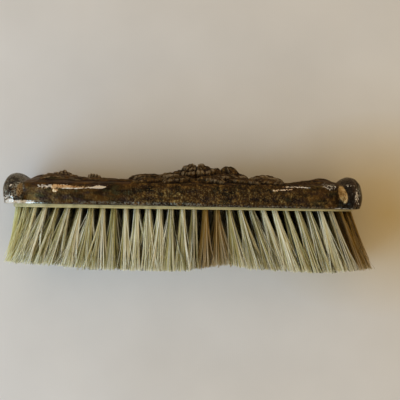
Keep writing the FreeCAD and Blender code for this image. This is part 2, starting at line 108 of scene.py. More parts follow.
# leaves that grow alike on both sides, as they are on the side of +v
PAIRED_LEAVES = (
    (1.3, (-48.5, 2.5), (-36.0, 8.0), 3.4, 6, 1.0),
    (1.3, (52.0, 3.0), (66.0, 10.0), 3.6, 6, 0.8),
    (3.4, (7.0, 11.0), (-10.0, 22.0), 4.6, 7, 1.0),
    (3.6, (6.0, 11.0), (20.0, 22.5), 4.6, 7, -1.0),
    (2.8, (20.0, 13.0), (37.0, 22.5), 4.2, 7, -1.0),
    (2.2, (-7.0, 15.0), (-25.0, 22.0), 3.6, 7, 1.0),
    (2.0, (33.0, 17.0), (49.0, 22.5), 3.0, 6, -0.8),
    (2.2, (-57.0, 9.0), (-69.0, 17.0), 3.6, 6, 0.8),
    (2.0, (-56.0, 9.0), (-44.0, 16.0), 3.4, 6, -0.8),
)
# a painted highlight along the rim's bead: where it starts, is full, fades and ends, its lift and its reach
BEAD_LINE = ((-50, -46, 4, 12), 1.1, 0.4)
# columns along a side and round an end of the back, rows up its wall and over its crown
FINE_GRID, QUICK_GRID = (350, 84, 20, 66), (160, 60, 14, 40)
# rings of tufts, and how many bristles a tuft has at the front and at the back
RINGS = ("outer", "second", "third", "inner")
BRISTLES = ((158, 138), (150, 110), (120, 90), (120, 90))
ROOT_SHADE = (0.0, 0.7, 0.85, 0.9)  # how dark each ring is at its roots
WINDOW_PLACE, WINDOW_SIZE = (-0.58, -0.25, 0.50), 0.6  # m
CAMERA_SHIFT, CAMERA_TURN = (8.3, 4.5), 0.8  # mm from the middle of the bristle face, and degrees


def linear(code):
    """An sRGB hex colour as linear red, green and blue: c / 12.92 up to 0.04045, and above that
    ((c + 0.055) / 1.055) to the power 2.4."""
    parts = [int(code[i : i + 2], 16) / 255 for i in (1, 3, 5)]
    return tuple(c / 12.92 if c <= 0.04045 else ((c + 0.055) / 1.055) ** 2.4 for c in parts)


def step(x, start, end):
    """0 before start, 1 past end, and 3t^2 - 2t^3 in between."""
    t = np.clip((x - start) / (end - start), 0, 1)
    return t * t * (3 - 2 * t)


def between(x, start, full, fading, end):
    """1 from full to fading, 0 before start and past end, and soft steps between them."""
    return step(x, start, full) * (1 - step(x, fading, end))


def bump(x, middle, reach):
    """A bell: e to the power of minus ((x - middle) / reach) squared."""
    return np.exp(-(((x - middle) / reach) ** 2))


def curve_through(x, points):
    """A smooth curve through (x, y) points: between each two a cubic whose slope at a point is the
    slope of the parabola through it and its neighbours. It is level past the ends."""
    px, py = np.array(points, float).T
    slope = np.gradient(py, px)
    x = np.clip(x, px[0], px[-1])
    i = np.clip(np.searchsorted(px, x) - 1, 0, len(px) - 2)
    gap = px[i + 1] - px[i]
    t = (x - px[i]) / gap
    ends = (1 + 2 * t) * (1 - t) ** 2 * py[i] + t * t * (3 - 2 * t) * py[i + 1]
    return ends + gap * (t * (1 - t) ** 2 * slope[i] + t * t * (t - 1) * slope[i + 1])


def soft_random(points, size, seed):
    """Random heights from 0 to 1 in lumps about size mm wide: a random number at each corner of a
    cubic lattice, blended between the eight corners by 3t^2 - 2t^3 along each axis. The number is
    the corner's place, mixed by products with large primes and shifts."""
    scaled = points / size
    cell = np.floor(scaled).astype(np.int64)
    part = scaled - cell
    part = part * part * (3 - 2 * part)
    total = np.zeros(points.shape[:-1])
    for corner in range(8):
        side = np.array([corner & 1, corner >> 1 & 1, corner >> 2])
        x, y, z = np.moveaxis((cell + side).astype(np.uint64), -1, 0)
        mixed = x * np.uint64(73856093) ^ y * np.uint64(19349663) ^ z * np.uint64(83492791)
        mixed = (mixed ^ np.uint64(seed * 2654435761)) & np.uint64(0xFFFFFFFF)
        mixed = ((mixed ^ (mixed >> np.uint64(15))) * np.uint64(2246822519)) & np.uint64(0xFFFFFFFF)
        mixed = ((mixed ^ (mixed >> np.uint64(13))) * np.uint64(3266489917)) & np.uint64(0xFFFFFFFF)
        mixed = mixed ^ (mixed >> np.uint64(16))
        total += mixed / 0xFFFFFFFF * np.prod(np.where(side, part, 1 - part), axis=-1)
    return total


def new_piece(name, points, faces, material, nodes):
    """A mesh object from points in (u, w, v) and arrays of faces, riding on the frame in place of
    CAD nodes. Where its signed volume, the sum over its faces of a . (b x c) / 6, is negative, its
    faces are turned round."""
    points = np.asarray(points, float) + MIDDLE
    a, b, c = (points[np.concatenate([f[:, i] for f in faces])] for i in (0, 1, 2))
    halves = [(points[f[:, 0]], points[f[:, 2]], points[f[:, 3]]) for f in faces if f.shape[1] == 4]
    volume = sum(np.einsum("ij,ij->", p, np.cross(q, r)) for p, q, r in [(a, b, c), *halves])
    if volume < 0:
        faces = [f[:, ::-1] for f in faces]
    mesh = bpy.data.meshes.new(name)
    mesh.vertices.add(len(points))
    mesh.vertices.foreach_set("co", (points * 0.001).astype(np.float32).ravel())
    sizes = np.concatenate([np.full(len(f), f.shape[1]) for f in faces])
    loops = np.concatenate([f.ravel() for f in faces]).astype(np.int32)
    mesh.loops.add(len(loops))
    mesh.loops.foreach_set("vertex_index", loops)
    mesh.polygons.add(len(sizes))
    mesh.polygons.foreach_set("loop_start", (np.cumsum(sizes) - sizes).astype(np.int32))
    mesh.polygons.foreach_set("use_smooth", np.ones(len(sizes), bool))
    mesh.update(calc_edges=True)
    if mesh.validate():
        raise RuntimeError(f"{name}: some faces of the mesh were not sound")
    mesh.materials.append(material)
    piece = bpy.data.objects.new(name, mesh)
    bpy.context.scene.collection.objects.link(piece)
    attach(piece, "root")
    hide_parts(*nodes)
    return piece


def paint(piece, **values):
    """Gives the mesh one number per point and name, for its material to read."""
    for name, numbers in values.items():
        attribute = piece.data.attributes.new(name, "FLOAT", "POINT")
        attribute.data.foreach_set("value", np.asarray(numbers, np.float32).ravel())


# ---------------------------------------------------------------- materials


def new_material(name):
    """A new material, with its tree of nodes and its shader."""
    material = bpy.data.materials.new(name)
    material.use_nodes = True
    tree = material.node_tree
    return material, tree, tree.nodes["Principled BSDF"]


def add(tree, kind, result=0, links=(), **settings):
    """Adds a node and returns one of its outputs. links pairs an input, by name or number, with a
    constant or with the output that feeds it; settings are the node's own."""
    node = tree.nodes.new("ShaderNode" + kind)
    for key, value in settings.items():
        if key == "stops":
            ramp = node.color_ramp
            while len(ramp.elements) < len(value):
                ramp.elements.new(0.5)
            for element, (place, colour) in zip(ramp.elements, value):
                element.position = place
                element.color = (*colour, 1)
        else:
            setattr(node, key, value)
    for key, value in links:
        if isinstance(value, bpy.types.NodeSocket):
            tree.links.new(value, node.inputs[key])
        elif isinstance(value, tuple) and len(value) == 3 and node.inputs[key].type == "RGBA":
            node.inputs[key].default_value = (*value, 1)
        else:
            node.inputs[key].default_value = value
    return node.outputs[result]


def grey(*stops):
    """Stops of a black to white ramp from (place, brightness) pairs."""
    return [(place, (value, value, value)) for place, value in stops]


def tones(*stops):
    """Stops of a colour ramp from pairs of a place and a hex code or a colour setting."""
    return [(place, linear(tone) if isinstance(tone, str) else tuple(tone)) for place, tone in stops]


def millimetres(tree):
    """Object coordinates in mm, in which the pattern sizes are written."""
    place = add(tree, "TexCoord", result="Object")
    return add(tree, "VectorMath", links=[(0, place), ("Scale", 1000.0)], operation="SCALE")


def tarnished_silver_plate(colours):
    """Silver plate on stamped copper alloy, never polished for decades: a brown-black sulphide skin
    that is thicker in the hollows, pitted, and clouded with olive, amber and a violet brown. It gives
    the eye a dark metal, dull on the pebbled walls and glossy at the ends, with painted shade in the
    hollows and under the rim, painted highlights on the ridges of the ornament, peach copper where
    handling wore through the plate, bright silver along the edge of each worn place, and painted
    glints and reflections, silver and grey, on the rim, its bead and the lobes. The clouds are 2 to
    4 mm across and the pits under 1 mm."""
    material, tree, shader = new_material("tarnished_silver_plate")
    place = millimetres(tree)
    lengthwise = add(tree, "Mapping", links=[("Vector", place), ("Scale", (0.4, 1.0, 1.0))])
    cloud = add(tree, "TexNoise", links=[("Vector", lengthwise), ("Scale", 0.3), ("Detail", 3.0)])
    mottle, grit = (
        add(tree, "TexNoise", links=[
            ("Vector", place), ("Scale", scale), ("Detail", detail), ("Roughness", 0.6)])
        for scale, detail in ((0.5, 4.0), (1.25, 2.0)))
    tint = add(tree, "TexNoise", result="Color", links=[
        ("Vector", lengthwise), ("Scale", 0.3), ("Detail", 2.0)])
    pebbles = add(tree, "TexVoronoi", links=[("Vector", place), ("Scale", 0.9), ("Randomness", 0.9)])
    names = ("hollow", "crest", "worn_through", "bare_silver", "rubbed", "smooth", "pebbled", "brassy")
    hollow, crest, worn, silver_and_glint, rubbed, smooth, pebbled, brassy = (
        add(tree, "Attribute", attribute_name=name, result="Fac") for name in names)

    first, second = (add(tree, "SeparateColor", links=[(0, tint)], result=channel) for channel in (2, 0))
    violet = add(tree, "ValToRGB", links=[(0, first)], stops=grey((0.5, 0.0), (0.62, 0.6)))
    olive = add(tree, "ValToRGB", links=[(0, first)], stops=grey((0.36, 0.6), (0.47, 0.0)))
    amber = add(tree, "ValToRGB", links=[(0, second)], stops=grey((0.46, 0.0), (0.6, 0.6)))
    mottling = add(tree, "MapRange", links=[(0, pebbled), (1, 0.25), (2, 1.0), (3, 0.2), (4, 0.65)])
    mottled = add(tree, "ValToRGB", links=[(0, mottle)], stops=tones(
        (0.36, "#080402"), (0.49, "#2c1f12"), (0.58, "#583f1c"), (0.7, "#a6854a")))
    flecks = add(tree, "ValToRGB", links=[(0, grit)], stops=grey((0.56, 0.0), (0.68, 0.65)))
    flecks = add(tree, "Math", operation="MULTIPLY", links=[(0, flecks), (1, pebbled)])
    clean = add(tree, "ValToRGB", links=[(0, grit)], stops=grey((0.43, 0.0), (0.58, 1.0)))
    clean = add(tree, "Math", operation="MULTIPLY", links=[(0, clean), (1, rubbed)])
    ragged = add(tree, "Math", operation="MULTIPLY_ADD", links=[(0, grit), (1, 1.5), (2, -0.75)])
    copper = add(tree, "Math", operation="ADD", links=[(0, worn), (1, ragged)])
    copper = add(tree, "ValToRGB", links=[(0, copper)], stops=grey((0.46, 0.0), (0.6, 1.0)))
    copper_tone = add(tree, "ValToRGB", links=[(0, mottle)], stops=tones(
        (0.36, "#9c6a39"), (0.5, colours.copper), (0.66, "#f4d3a2")))
    brass = add(tree, "Math", operation="MULTIPLY_ADD", links=[(0, ragged), (1, 0.12), (2, brassy)])
    brass = add(tree, "ValToRGB", links=[(0, brass)], stops=grey((0.4, 0.0), (0.6, 0.9)))
    brass_tone = add(tree, "ValToRGB", links=[(0, mottle)], stops=tones(
        (0.34, "#8f6d3d"), (0.5, "#c29b60"), (0.7, "#e0c08a")))
    silver = add(tree, "Math", operation="ADD", links=[(0, silver_and_glint), (1, ragged)])
    silver = add(tree, "ValToRGB", links=[(0, silver)], stops=grey((0.46, 0.0), (0.58, 1.0)))
    silver_tone = add(tree, "Mix", result=2, data_type="RGBA", links=[
        (0, worn), (6, tuple(colours.silver)), (7, linear("#f0cf9c"))])
    colour = add(tree, "ValToRGB", links=[(0, cloud)], stops=tones(
        (0.36, "#1e140a"), (0.5, colours.tarnish), (0.64, "#60471d")))
    layers = (
        (violet, linear("#3e2c27")),
        (olive, linear("#4b472b")),
        (amber, linear("#62401a")),
        (mottling, mottled),
        (flecks, tuple(colours.flecks)),
        # painted shade in the recesses and under the rim; the lobes and the raised ornament are darker too
        (hollow, linear("#0c0706")),
        # painted highlights on the ridges of the ornament
        (crest, linear("#a99474")),
        # grey of the rubbed rim and lobes, with painted highlights along the rim and its bead and a painted
        # reflection on the right lobe
        (clean, linear("#a9aa9c")),
        (copper, copper_tone),
        (brass, brass_tone),
        # bright silver: rubbed clean at the worn places, and painted glints and reflections on the rim, its
        # bead and the lobes
        (silver, silver_tone),
    )
    for share, over in layers:
        colour = add(tree, "Mix", result=2, data_type="RGBA", links=[(0, share), (6, colour), (7, over)])
    tree.links.new(colour, shader.inputs["Base Color"])

    rough = add(tree, "MapRange", links=[(0, mottle), (1, 0.3), (2, 0.7), (3, 0.62), (4, 0.4)])
    rough = add(tree, "Mix", links=[(0, smooth), (2, rough), (3, 0.2)])
    rough = add(tree, "Mix", links=[(0, silver), (2, rough), (3, 0.38)])
    tree.links.new(rough, shader.inputs["Roughness"])
    metal = add(tree, "MapRange", links=[(0, silver), (1, 0.0), (2, 1.0), (3, 0.75), (4, 0.5)])
    tree.links.new(metal, shader.inputs["Metallic"])
    shader.inputs["Specular Tint"].default_value = (*linear("#bcad99"), 1)

    height = add(tree, "Math", operation="MULTIPLY_ADD", links=[(0, grit), (1, 0.6), (2, mottle)])
    height = add(tree, "Math", operation="SUBTRACT", links=[(0, height), (1, pebbles)])
    height = add(tree, "Math", operation="MULTIPLY", links=[(0, height), (1, pebbled)])
    relief = add(tree, "Bump", links=[("Height", height), ("Distance", 0.0006), ("Strength", 0.9)])
    tree.links.new(relief, shader.inputs["Normal"])
    return material


def boar_bristle(colours):
    """Undyed boar bristle, cream, washed and set by hand. Each hair is a stiff smooth fibre, so the
    eye sees many fine glossy strands, the lightest also painted near white as glints, greyer with
    dust near the board, and brown in a few tufts: discoloured near the middle, and painted brown as
    shade at the right end. The rows behind are painted darker, as shade: most at the root, where no
    light comes between them, and along most of their length behind the outer ring."""
    material, tree, shader = new_material("boar_bristle")
    tone, along, stain, yellow, buried = (
        add(tree, "Attribute", attribute_name=name, result="Fac")
        for name in ("tone", "along", "stain", "yellow", "buried"))
    # the near-white top of the ramp also stands for painted glints on the strands
    colour = add(tree, "ValToRGB", links=[(0, tone)], stops=tones(
        (0.0, "#332c14"), (0.27, "#776e3c"), (0.55, colours.bristle), (0.78, "#fffff0")))
    dust = add(tree, "ValToRGB", links=[(0, along)], stops=grey(
        (0.0, 0.15), (0.25, 0.05), (0.5, 0.0), (1.0, 0.0)))
    layers = (
        ("MULTIPLY", yellow, linear("#f6efab")),
        # brown: tufts discoloured near the middle, and painted shade at the right end
        ("MULTIPLY", stain, tuple(colours.stain)),
        ("MIX", dust, linear("#9a8f66")),
        # painted shade on the rows behind
        ("MIX", buried, linear("#1d150a")),
    )
    for kind, share, over in layers:
        colour = add(tree, "Mix", result=2, data_type="RGBA", blend_type=kind, links=[
            (0, share), (6, colour), (7, over)])
    tree.links.new(colour, shader.inputs["Base Color"])
    shader.inputs["Roughness"].default_value = 0.35
    shader.inputs["Specular IOR Level"].default_value = 0.38
    return material


def ivory_lacquered_wood(colours):
    """Close-grained holly under a thin ivory lacquer, sanded smooth: a pale cream edge with faint
    long grain, greyer where dust sits in scratches and greyer towards the right end."""
    material, tree, shader = new_material("ivory_lacquered_wood")
    place = millimetres(tree)
    stretched = add(tree, "Mapping", links=[("Vector", place), ("Scale", (0.06, 1.2, 1.2))])
    grain = add(tree, "TexNoise", links=[("Vector", stretched), ("Scale", 1.6), ("Detail", 4.0)])
    smudge = add(tree, "TexNoise", links=[("Vector", place), ("Scale", 0.22), ("Detail", 3.0)])
    colour = add(tree, "ValToRGB", links=[(0, grain)], stops=tones(
        (0.3, "#b7aa72"), (0.5, colours.lacquer), (0.75, "#dcd3a0")))
    where = add(tree, "ValToRGB", links=[(0, smudge)], stops=grey((0.45, 0.0), (0.65, 0.55)))
    along = add(tree, "SeparateXYZ", links=[(0, place)], result=0)
    # greyer towards the right end
    rightward = add(tree, "MapRange", links=[(0, along), (1, -30.0), (2, 80.0), (3, 0.0), (4, 0.6)])
    where = add(tree, "Math", operation="MAXIMUM", links=[(0, where), (1, rightward)])
    colour = add(tree, "Mix", result=2, data_type="RGBA", links=[
        (0, where), (6, colour), (7, linear("#94875a"))])
    tree.links.new(colour, shader.inputs["Base Color"])
    rough = add(tree, "MapRange", links=[(0, grain), (1, 0.3), (2, 0.7), (3, 0.36), (4, 0.52)])
    tree.links.new(rough, shader.inputs["Roughness"])
    relief = add(tree, "Bump", links=[("Height", grain), ("Distance", 0.0001), ("Strength", 0.4)])
    tree.links.new(relief, shader.inputs["Normal"])
    return material


def beech_cover(colours):
    """Plain beech, planed and glued over the wire: pinkish tan with short dark flecks of its rays."""
    material, tree, shader = new_material("planed_beech")
    place = millimetres(tree)
    stretched = add(tree, "Mapping", links=[("Vector", place), ("Scale", (0.25, 1.6, 1.6))])
    flecks = add(tree, "TexNoise", links=[("Vector", stretched), ("Scale", 1.1), ("Detail", 3.0)])
    colour = add(tree, "ValToRGB", links=[(0, flecks)], stops=tones(
        (0.35, "#8f6a45"), (0.55, colours.beech), (0.8, "#d1ab82")))
    tree.links.new(colour, shader.inputs["Base Color"])
    shader.inputs["Roughness"].default_value = 0.6
    relief = add(tree, "Bump", links=[("Height", flecks), ("Distance", 0.0001), ("Strength", 0.5)])
    tree.links.new(relief, shader.inputs["Normal"])
    return material


def set_pitch():
    """Brewer's pitch poured hot and set: near-black brown, glossy where it chilled on the metal and
    dull where it holds brick dust."""
    material, tree, shader = new_material("set_pitch")
    place = millimetres(tree)
    dust = add(tree, "TexNoise", links=[("Vector", place), ("Scale", 0.5), ("Detail", 5.0)])
    colour = add(tree, "ValToRGB", links=[(0, dust)], stops=tones((0.35, "#17100a"), (0.7, "#3a2a1a")))
    rough = add(tree, "MapRange", links=[(0, dust), (1, 0.3), (2, 0.7), (3, 0.2), (4, 0.6)])
    tree.links.new(colour, shader.inputs["Base Color"])
    tree.links.new(rough, shader.inputs["Roughness"])
    return material


def drawn_brass_wire():
    """Brass wire pulled through a die: fine scratches along it, dull yellow with brown spots."""
    material, tree, shader = new_material("drawn_brass_wire")
    place = millimetres(tree)
    spots = add(tree, "TexNoise", links=[("Vector", place), ("Scale", 1.5), ("Detail", 3.0)])
    colour = add(tree, "ValToRGB", links=[(0, spots)], stops=tones((0.35, "#7a5c28"), (0.6, "#c9a455")))
    rough = add(tree, "MapRange", links=[(0, spots), (1, 0.3), (2, 0.7), (3, 0.5), (4, 0.28)])
    tree.links.new(colour, shader.inputs["Base Color"])
    tree.links.new(rough, shader.inputs["Roughness"])
    shader.inputs["Metallic"].default_value = 1.0
    return material


def bleached_cotton(colours):
    """Plain bleached cotton sheet, washed soft: an off-white matt floor with a thread every 0.5 mm,
    drawn about twice as coarse so that it shows, and a painted warm shadow, a soft brownish patch, by
    the brush's right end."""
    material, tree, shader = new_material("bleached_cotton")
    place = millimetres(tree)
    threads = add(tree, "TexWave", links=[
        ("Vector", place), ("Scale", 0.3), ("Distortion", 0.6), ("Detail", 1.0)])
    slub = add(tree, "TexNoise", links=[("Vector", place), ("Scale", 0.02), ("Detail", 3.0)])
    dull, light = (tuple(min(1, c * share) for c in colours.cloth) for share in (0.96, 1.03))
    colour = add(tree, "ValToRGB", links=[(0, slub)], stops=tones((0.3, dull), (0.7, light)))
    # painted warm shadow by the brush's right end
    spot = add(tree, "Mapping", vector_type="TEXTURE", links=[
        ("Vector", place), ("Location", (105.0, 2.0, 0.0)), ("Scale", (80.0, 55.0, 1000.0))])
    spot = add(tree, "TexGradient", gradient_type="SPHERICAL", links=[("Vector", spot)], result=1)
    colour = add(tree, "Mix", result=2, data_type="RGBA", blend_type="MULTIPLY", links=[
        (0, spot), (6, colour), (7, linear("#eddaaf"))])
    tree.links.new(colour, shader.inputs["Base Color"])
    shader.inputs["Roughness"].default_value = 0.95
    shader.inputs["Specular IOR Level"].default_value = 0.1
    relief = add(tree, "Bump", links=[("Height", threads), ("Distance", 0.00005), ("Strength", 0.15)])
    tree.links.new(relief, shader.inputs["Normal"])
    return material


# ---------------------------------------------------------------- the silver back


def body_form(u, w, v):
    """How far a point is outside the main body, in mm. Its section at u has walls on an arc that is
    upright at the ridge, shoulders of radius 3, and a crown arc that touches both shoulders: with a
    and b from the shoulder's centre to the axis and up to the crown, its radius is
    (a^2 + b^2 - 9) / (2 (b - 3))."""
    half, crown = curve_through(np.abs(u), SIDE_LINE), curve_through(u, CROWN_LINE)
    across = np.abs(v)
    wall_radius = (RIDGE_HEIGHT**2 + RIM_INSET**2) / (2 * RIM_INSET)
    drop = np.clip(RIDGE_HEIGHT - w, 0, wall_radius)
    wall = across - half + wall_radius - np.sqrt(wall_radius**2 - drop**2)
    a, b = half - SHOULDER, crown - RIDGE_HEIGHT
    radius = (a * a + b * b - SHOULDER**2) / (2 * (b - SHOULDER))
    above = w - crown + radius
    shoulder = np.hypot(across - a, w - RIDGE_HEIGHT) - SHOULDER
    dome = np.hypot(v, above) - radius
    top = np.where(across * (radius - b) > a * above, shoulder, dome)
    return np.maximum(np.where(w < RIDGE_HEIGHT, wall, top), np.abs(u) - SPINE_END - 1)


def lobe_form(u, w, v):
    """How far a point is outside the end lobes: an ellipsoid whose top leans outwards, with flutes
    that run up it from the rim. With turn the angle round it from the end, the flutes are
    0.9 (1 - |cos(pi turn / 38)|^0.6) mm deep, and fade out towards the top."""
    lean = np.where(u < 0, 3.4, 2.6) * np.clip((w - LOBE_CENTRE) / LOBE_UP, 0, 1)
    x = np.abs(u) - SPINE_END - lean
    long = np.where(x > 0, LOBE_OUT, LOBE_IN)
    high = np.where(w > LOBE_CENTRE, LOBE_UP, LOBE_DOWN)
    x, y, z = x / long, (w - LOBE_CENTRE) / high, v / LOBE_ACROSS
    length = np.sqrt(x * x + y * y + z * z) + 1e-9
    slope = np.sqrt((x / long) ** 2 + (y / high) ** 2 + (z / LOBE_ACROSS) ** 2) + 1e-9
    turn = np.degrees(np.arctan2(np.abs(z), x))
    flute = np.abs(np.cos(np.pi * turn / 38)) ** 0.6
    low = np.sqrt(x * x + z * z) / length
    return length * (length - 1) / slope + 0.9 * (1 - flute) * step(low, 0.3, 0.9)


def back_form(u, w, v):
    """The body and the lobes joined by a soft minimum, which rounds the groove between them."""
    a, b, soft = body_form(u, w, v), lobe_form(u, w, v), 1.1
    h = np.clip(0.5 + 0.5 * (b - a) / soft, 0, 1)
    return b + (a - b) * h - soft * h * (1 - h)


def petal(u, v, middle, angle, distance, long, wide):
    """Height share of one petal: an ellipse whose middle is that distance out from the flower's at
    that angle. It droops outwards, rolls up at its rim, and has a fold along it, fine veins and two
    low ridges that run with its edge."""
    du, dv = u - middle[0], v - middle[1]
    x = (du * np.cos(angle) + dv * np.sin(angle) - distance) / long
    y = (dv * np.cos(angle) - du * np.sin(angle)) / wide
    r = np.hypot(x, y)
    rim = 0.24 * bump(r, 0.74, 0.17) * step(x, -0.6, 0.3)
    fold = 0.16 * bump(y, 0.15 * x, 0.14) * step(x, -0.5, 0.0)
    veins = 0.03 * np.cos(17 * y) * step(x, -0.6, 0.2) + 0.025 * np.cos(13 * r)
    return np.clip(1 - r**3, 0, 1) ** 0.6 * (0.84 + rim - fold - 0.13 * x + veins)


def flower(u, v, middle, *rings):
    """Height of a flower: the highest of its petals. A ring of them is (count, turn of the first,
    distance out, length, width, height, how much higher towards +u, how uneven)."""
    height = np.zeros_like(u)
    for count, first, distance, long, wide, rise, tilt, uneven in rings:
        for k in range(count):
            angle = 2 * np.pi * (k + first) / count
            size = 1 + uneven * np.sin(5.1 * k + 3 * first + count)
            shape = petal(u, v, middle, angle, distance * (2 - size), long * size, wide * size)
            height = np.maximum(height, rise * size * (1 + tilt * np.cos(angle)) * shape)
    return height


def bud(u, v, middle, half_long, half_wide, ribs):
    """Height share of a bud: an elliptical dome wrapped in overlapping leaves, whose edges are
    ribs that run down from its top."""
    x, y = (u - middle[0]) / half_long, (v - middle[1]) / half_wide
    r, angle = np.hypot(x, y), np.arctan2(y, x)
    wrap = (ribs * angle / (2 * np.pi) + 0.9 * r) % 1
    return np.clip(1 - r * r, 0, 1) ** 0.55 * (0.9 + 0.13 * wrap**2 * np.clip(r * 1.5, 0, 1))


def leaf(u, v, stem, point, half_wide, veins, bend=0.0):
    """Height share of a leaf from its stem to its point, bowed sideways by bend: full at mid length,
    steep at its waved edge, with a groove along its middle, lines that run with the edge and faint
    veins that slant back. A line's height is 0.07 cos(15 x), x being the share of the half width."""
    du, dv = point[0] - stem[0], point[1] - stem[1]
    long = np.hypot(du, dv)
    s = ((u - stem[0]) * du + (v - stem[1]) * dv) / long**2
    inside = np.clip(s, 1e-6, 1 - 1e-6)
    across = ((v - stem[1]) * du - (u - stem[0]) * dv) / long - bend * np.sin(np.pi * inside)
    off = np.abs(across)
    tooth = (veins * inside - off / 3.0) % 1
    half = half_wide * np.sin(np.pi * inside**0.85) ** 0.75 * (0.94 + 0.08 * np.sin(np.pi * tooth))
    body = np.clip(1 - (off / half) ** 3, 0, 1) ** 0.5 * np.sin(np.pi * inside) ** 0.45
    body = body * ((s > 0) & (s < 1))
    groove = 0.34 * bump(off, 0, 0.42)
    vein = 0.05 * bump(tooth, 0.5, 0.2) * np.clip(off / 0.8, 0, 1)
    share = np.clip(off / half, 0, 1)
    return body * (0.72 - groove - vein + 0.07 * np.cos(15 * share) + 0.22 * share)


def tendrils(u, v):
    """Height of the two stems that wind along the ornament, one near each side, with a small leaf at
    every turn: a stem runs along v = 16.4 + 1.3 sin(u / 7 + start)."""
    middle, swing, wave = 16.4, 1.3, 7.0
    height = np.zeros_like(u)
    for sign, start in ((1, 0.0), (-1, 1.4)):
        course = sign * (middle + swing * np.sin(u / wave + start))
        height = np.maximum(height, 0.75 * bump(v, course, 0.7) * (1 - step(np.abs(u), 64, 70)))
        for k in range(-6, 6):
            root = wave * (np.pi * (k + 0.5) - start)
            if abs(root) < 62:
                out, foot = (2.6, middle - swing) if k % 2 else (-2.6, middle + swing)
                shape = leaf(u, v, (root, sign * foot), (root + 7.5, sign * (foot + out)), 1.9, 4)
                height = np.maximum(height, 1.1 * shape)
    return height


def ornament(u, v):
    """Height of the raised ornament over the crown: the highest of a full-blown rose, a fat bud, a
    small flower, a ribbed small bud, and the leaves and tendrils round them. Past 7.6 mm a height x
    is eased to 7.6 + 0.85 tanh((x - 7.6) / 0.85)."""
    full, give = 7.6, 0.85
    rose = flower(
        u, v, (6.3, 0.0),
        (7, 0.25, 8.2, 4.4, 4.7, 6.3, 0.1, 0.06),
        (6, 0.0, 4.6, 3.6, 3.5, 8.7, 0.02, 0.07),
        (2, 0.0, 2.9, 2.1, 2.6, 9.9, 0.0, 0.04),
        (4, 0.5, 2.6, 1.9, 1.9, 8.8, 0.0, 0.05),
    )
    rose = rose + 0.9 * np.exp(-((u - 6.5) ** 2 + (v + 0.1) ** 2) / 0.9)
    small = flower(
        u, v, (-60.2, -0.2),
        (6, 0.3, 5.6, 3.4, 3.5, 2.2, 0.15, 0.08),
        (5, 0.0, 2.8, 2.3, 2.4, 3.3, 0.2, 0.08),
        (3, 0.0, 1.1, 1.3, 1.3, 4.3, 0.12, 0.05),
    )
    ribs = 0.6 + 0.4 * np.abs(np.cos(np.pi * (u + 47.4 + 0.05 * v * v) / 1.45)) ** 0.6
    ribbed = ribs * np.clip(1 - ((u + 44.2) / 3.7) ** 4 - (v / 4.2) ** 2, 0, 1) ** 0.5
    fold = 1 - 0.8 * bump(v, 4.6 - 0.1 * (u - 40) ** 2, 1.1) * between(u, 32, 35, 45, 48)
    shapes = [
        rose,
        small,
        (3.6 - 0.22 * (u + 47.0)) * ribbed,
        8.0 * bud(u, v, (22.4, -0.3), 6.0, 6.4, 5),
        7.0 * bud(u, v, (16.2, 0.6), 4.2, 6.0, 4),
        5.6 * bud(u, v, (-1.8, 0.4), 2.4, 4.0, 3),
        5.0 * bud(u, v, (24.0, 0.0), 7.0, 5.2, 7),
        4.6 * leaf(u, v, (31.3, -0.5), (50.3, 0.5), 6.4, 7, 0.6) * fold,
        tendrils(u, v),
    ]
    shapes += [high * leaf(u, v, *settings) for high, *settings in LEAVES]
    for high, stem, point, half_wide, veins, bend in PAIRED_LEAVES:
        for side in (1, -1):
            ends = (stem[0], side * stem[1]), (point[0], side * point[1])
            shapes.append(high * leaf(u, v, *ends, half_wide, veins, side * bend))
    height = np.maximum.reduce(shapes)
    return np.where(height > full, full + give * np.tanh((height - full) / give), height)


def spread_out(grid, times):
    """The grid averaged with its neighbours, a quarter, a half and a quarter, that many times."""
    for _ in range(times):
        grid = 0.25 * np.roll(grid, 1, 0) + 0.5 * grid + 0.25 * np.roll(grid, -1, 0)
        padded = np.pad(grid, ((0, 0), (1, 1)), "edge")
        grid = 0.25 * padded[:, :-2] + 0.5 * grid + 0.25 * padded[:, 2:]
    return grid


def ray_grid(straight, fan, wall, crown):
    """The rays that the back is found along: the angle round the brush and the start of every column
    of rays, and the run and the rise of each ray in it. Columns start from a spine in the plane of
    the rim, square to it along the straight part, closer together at the flowers, and fanned round
    both its ends. The rays of a column aim at steps up a wall 10.5 high, closer together at the rim's
    bead, and then at even steps across a crown."""
    wall_top = 10.5
    fine = np.linspace(-SPINE_END, SPINE_END, 2000)
    crowded = np.cumsum(1 + 0.9 * bump(fine, -50, 14) + 0.8 * bump(fine, 9, 24))
    along = np.interp(np.linspace(crowded[0], crowded[-1], straight), crowded, fine)
    turn = np.pi / 2 - np.pi * (np.arange(fan) + 1) / (fan + 1)
    out = np.arctan2(LOBE_ACROSS * np.sin(turn), LOBE_OUT * np.cos(turn))
    azimuth = np.concatenate([
        np.full(straight, np.pi / 2), out, np.full(straight, -np.pi / 2), np.pi - out[::-1]])
    start = np.concatenate([along, np.full(fan, SPINE_END), along[::-1], np.full(fan, -SPINE_END)])
    reach = 1 / np.hypot(np.cos(azimuth) / LOBE_OUT, np.sin(azimuth) / LOBE_ACROSS)
    climb = np.concatenate([
        [0, 0.12, 0.26, 0.42, 0.6, 0.8, 1.0, 1.25], np.linspace(1.6, wall_top, wall)])
    inward = np.linspace(0, 1, crown + 1)[1:]
    rise = np.concatenate([climb, wall_top + 2.5 * np.sin(np.pi / 2 * inward)])
    run = reach[:, None] * np.concatenate([np.ones(len(climb)), 1 - inward])
    return azimuth, start, run, rise


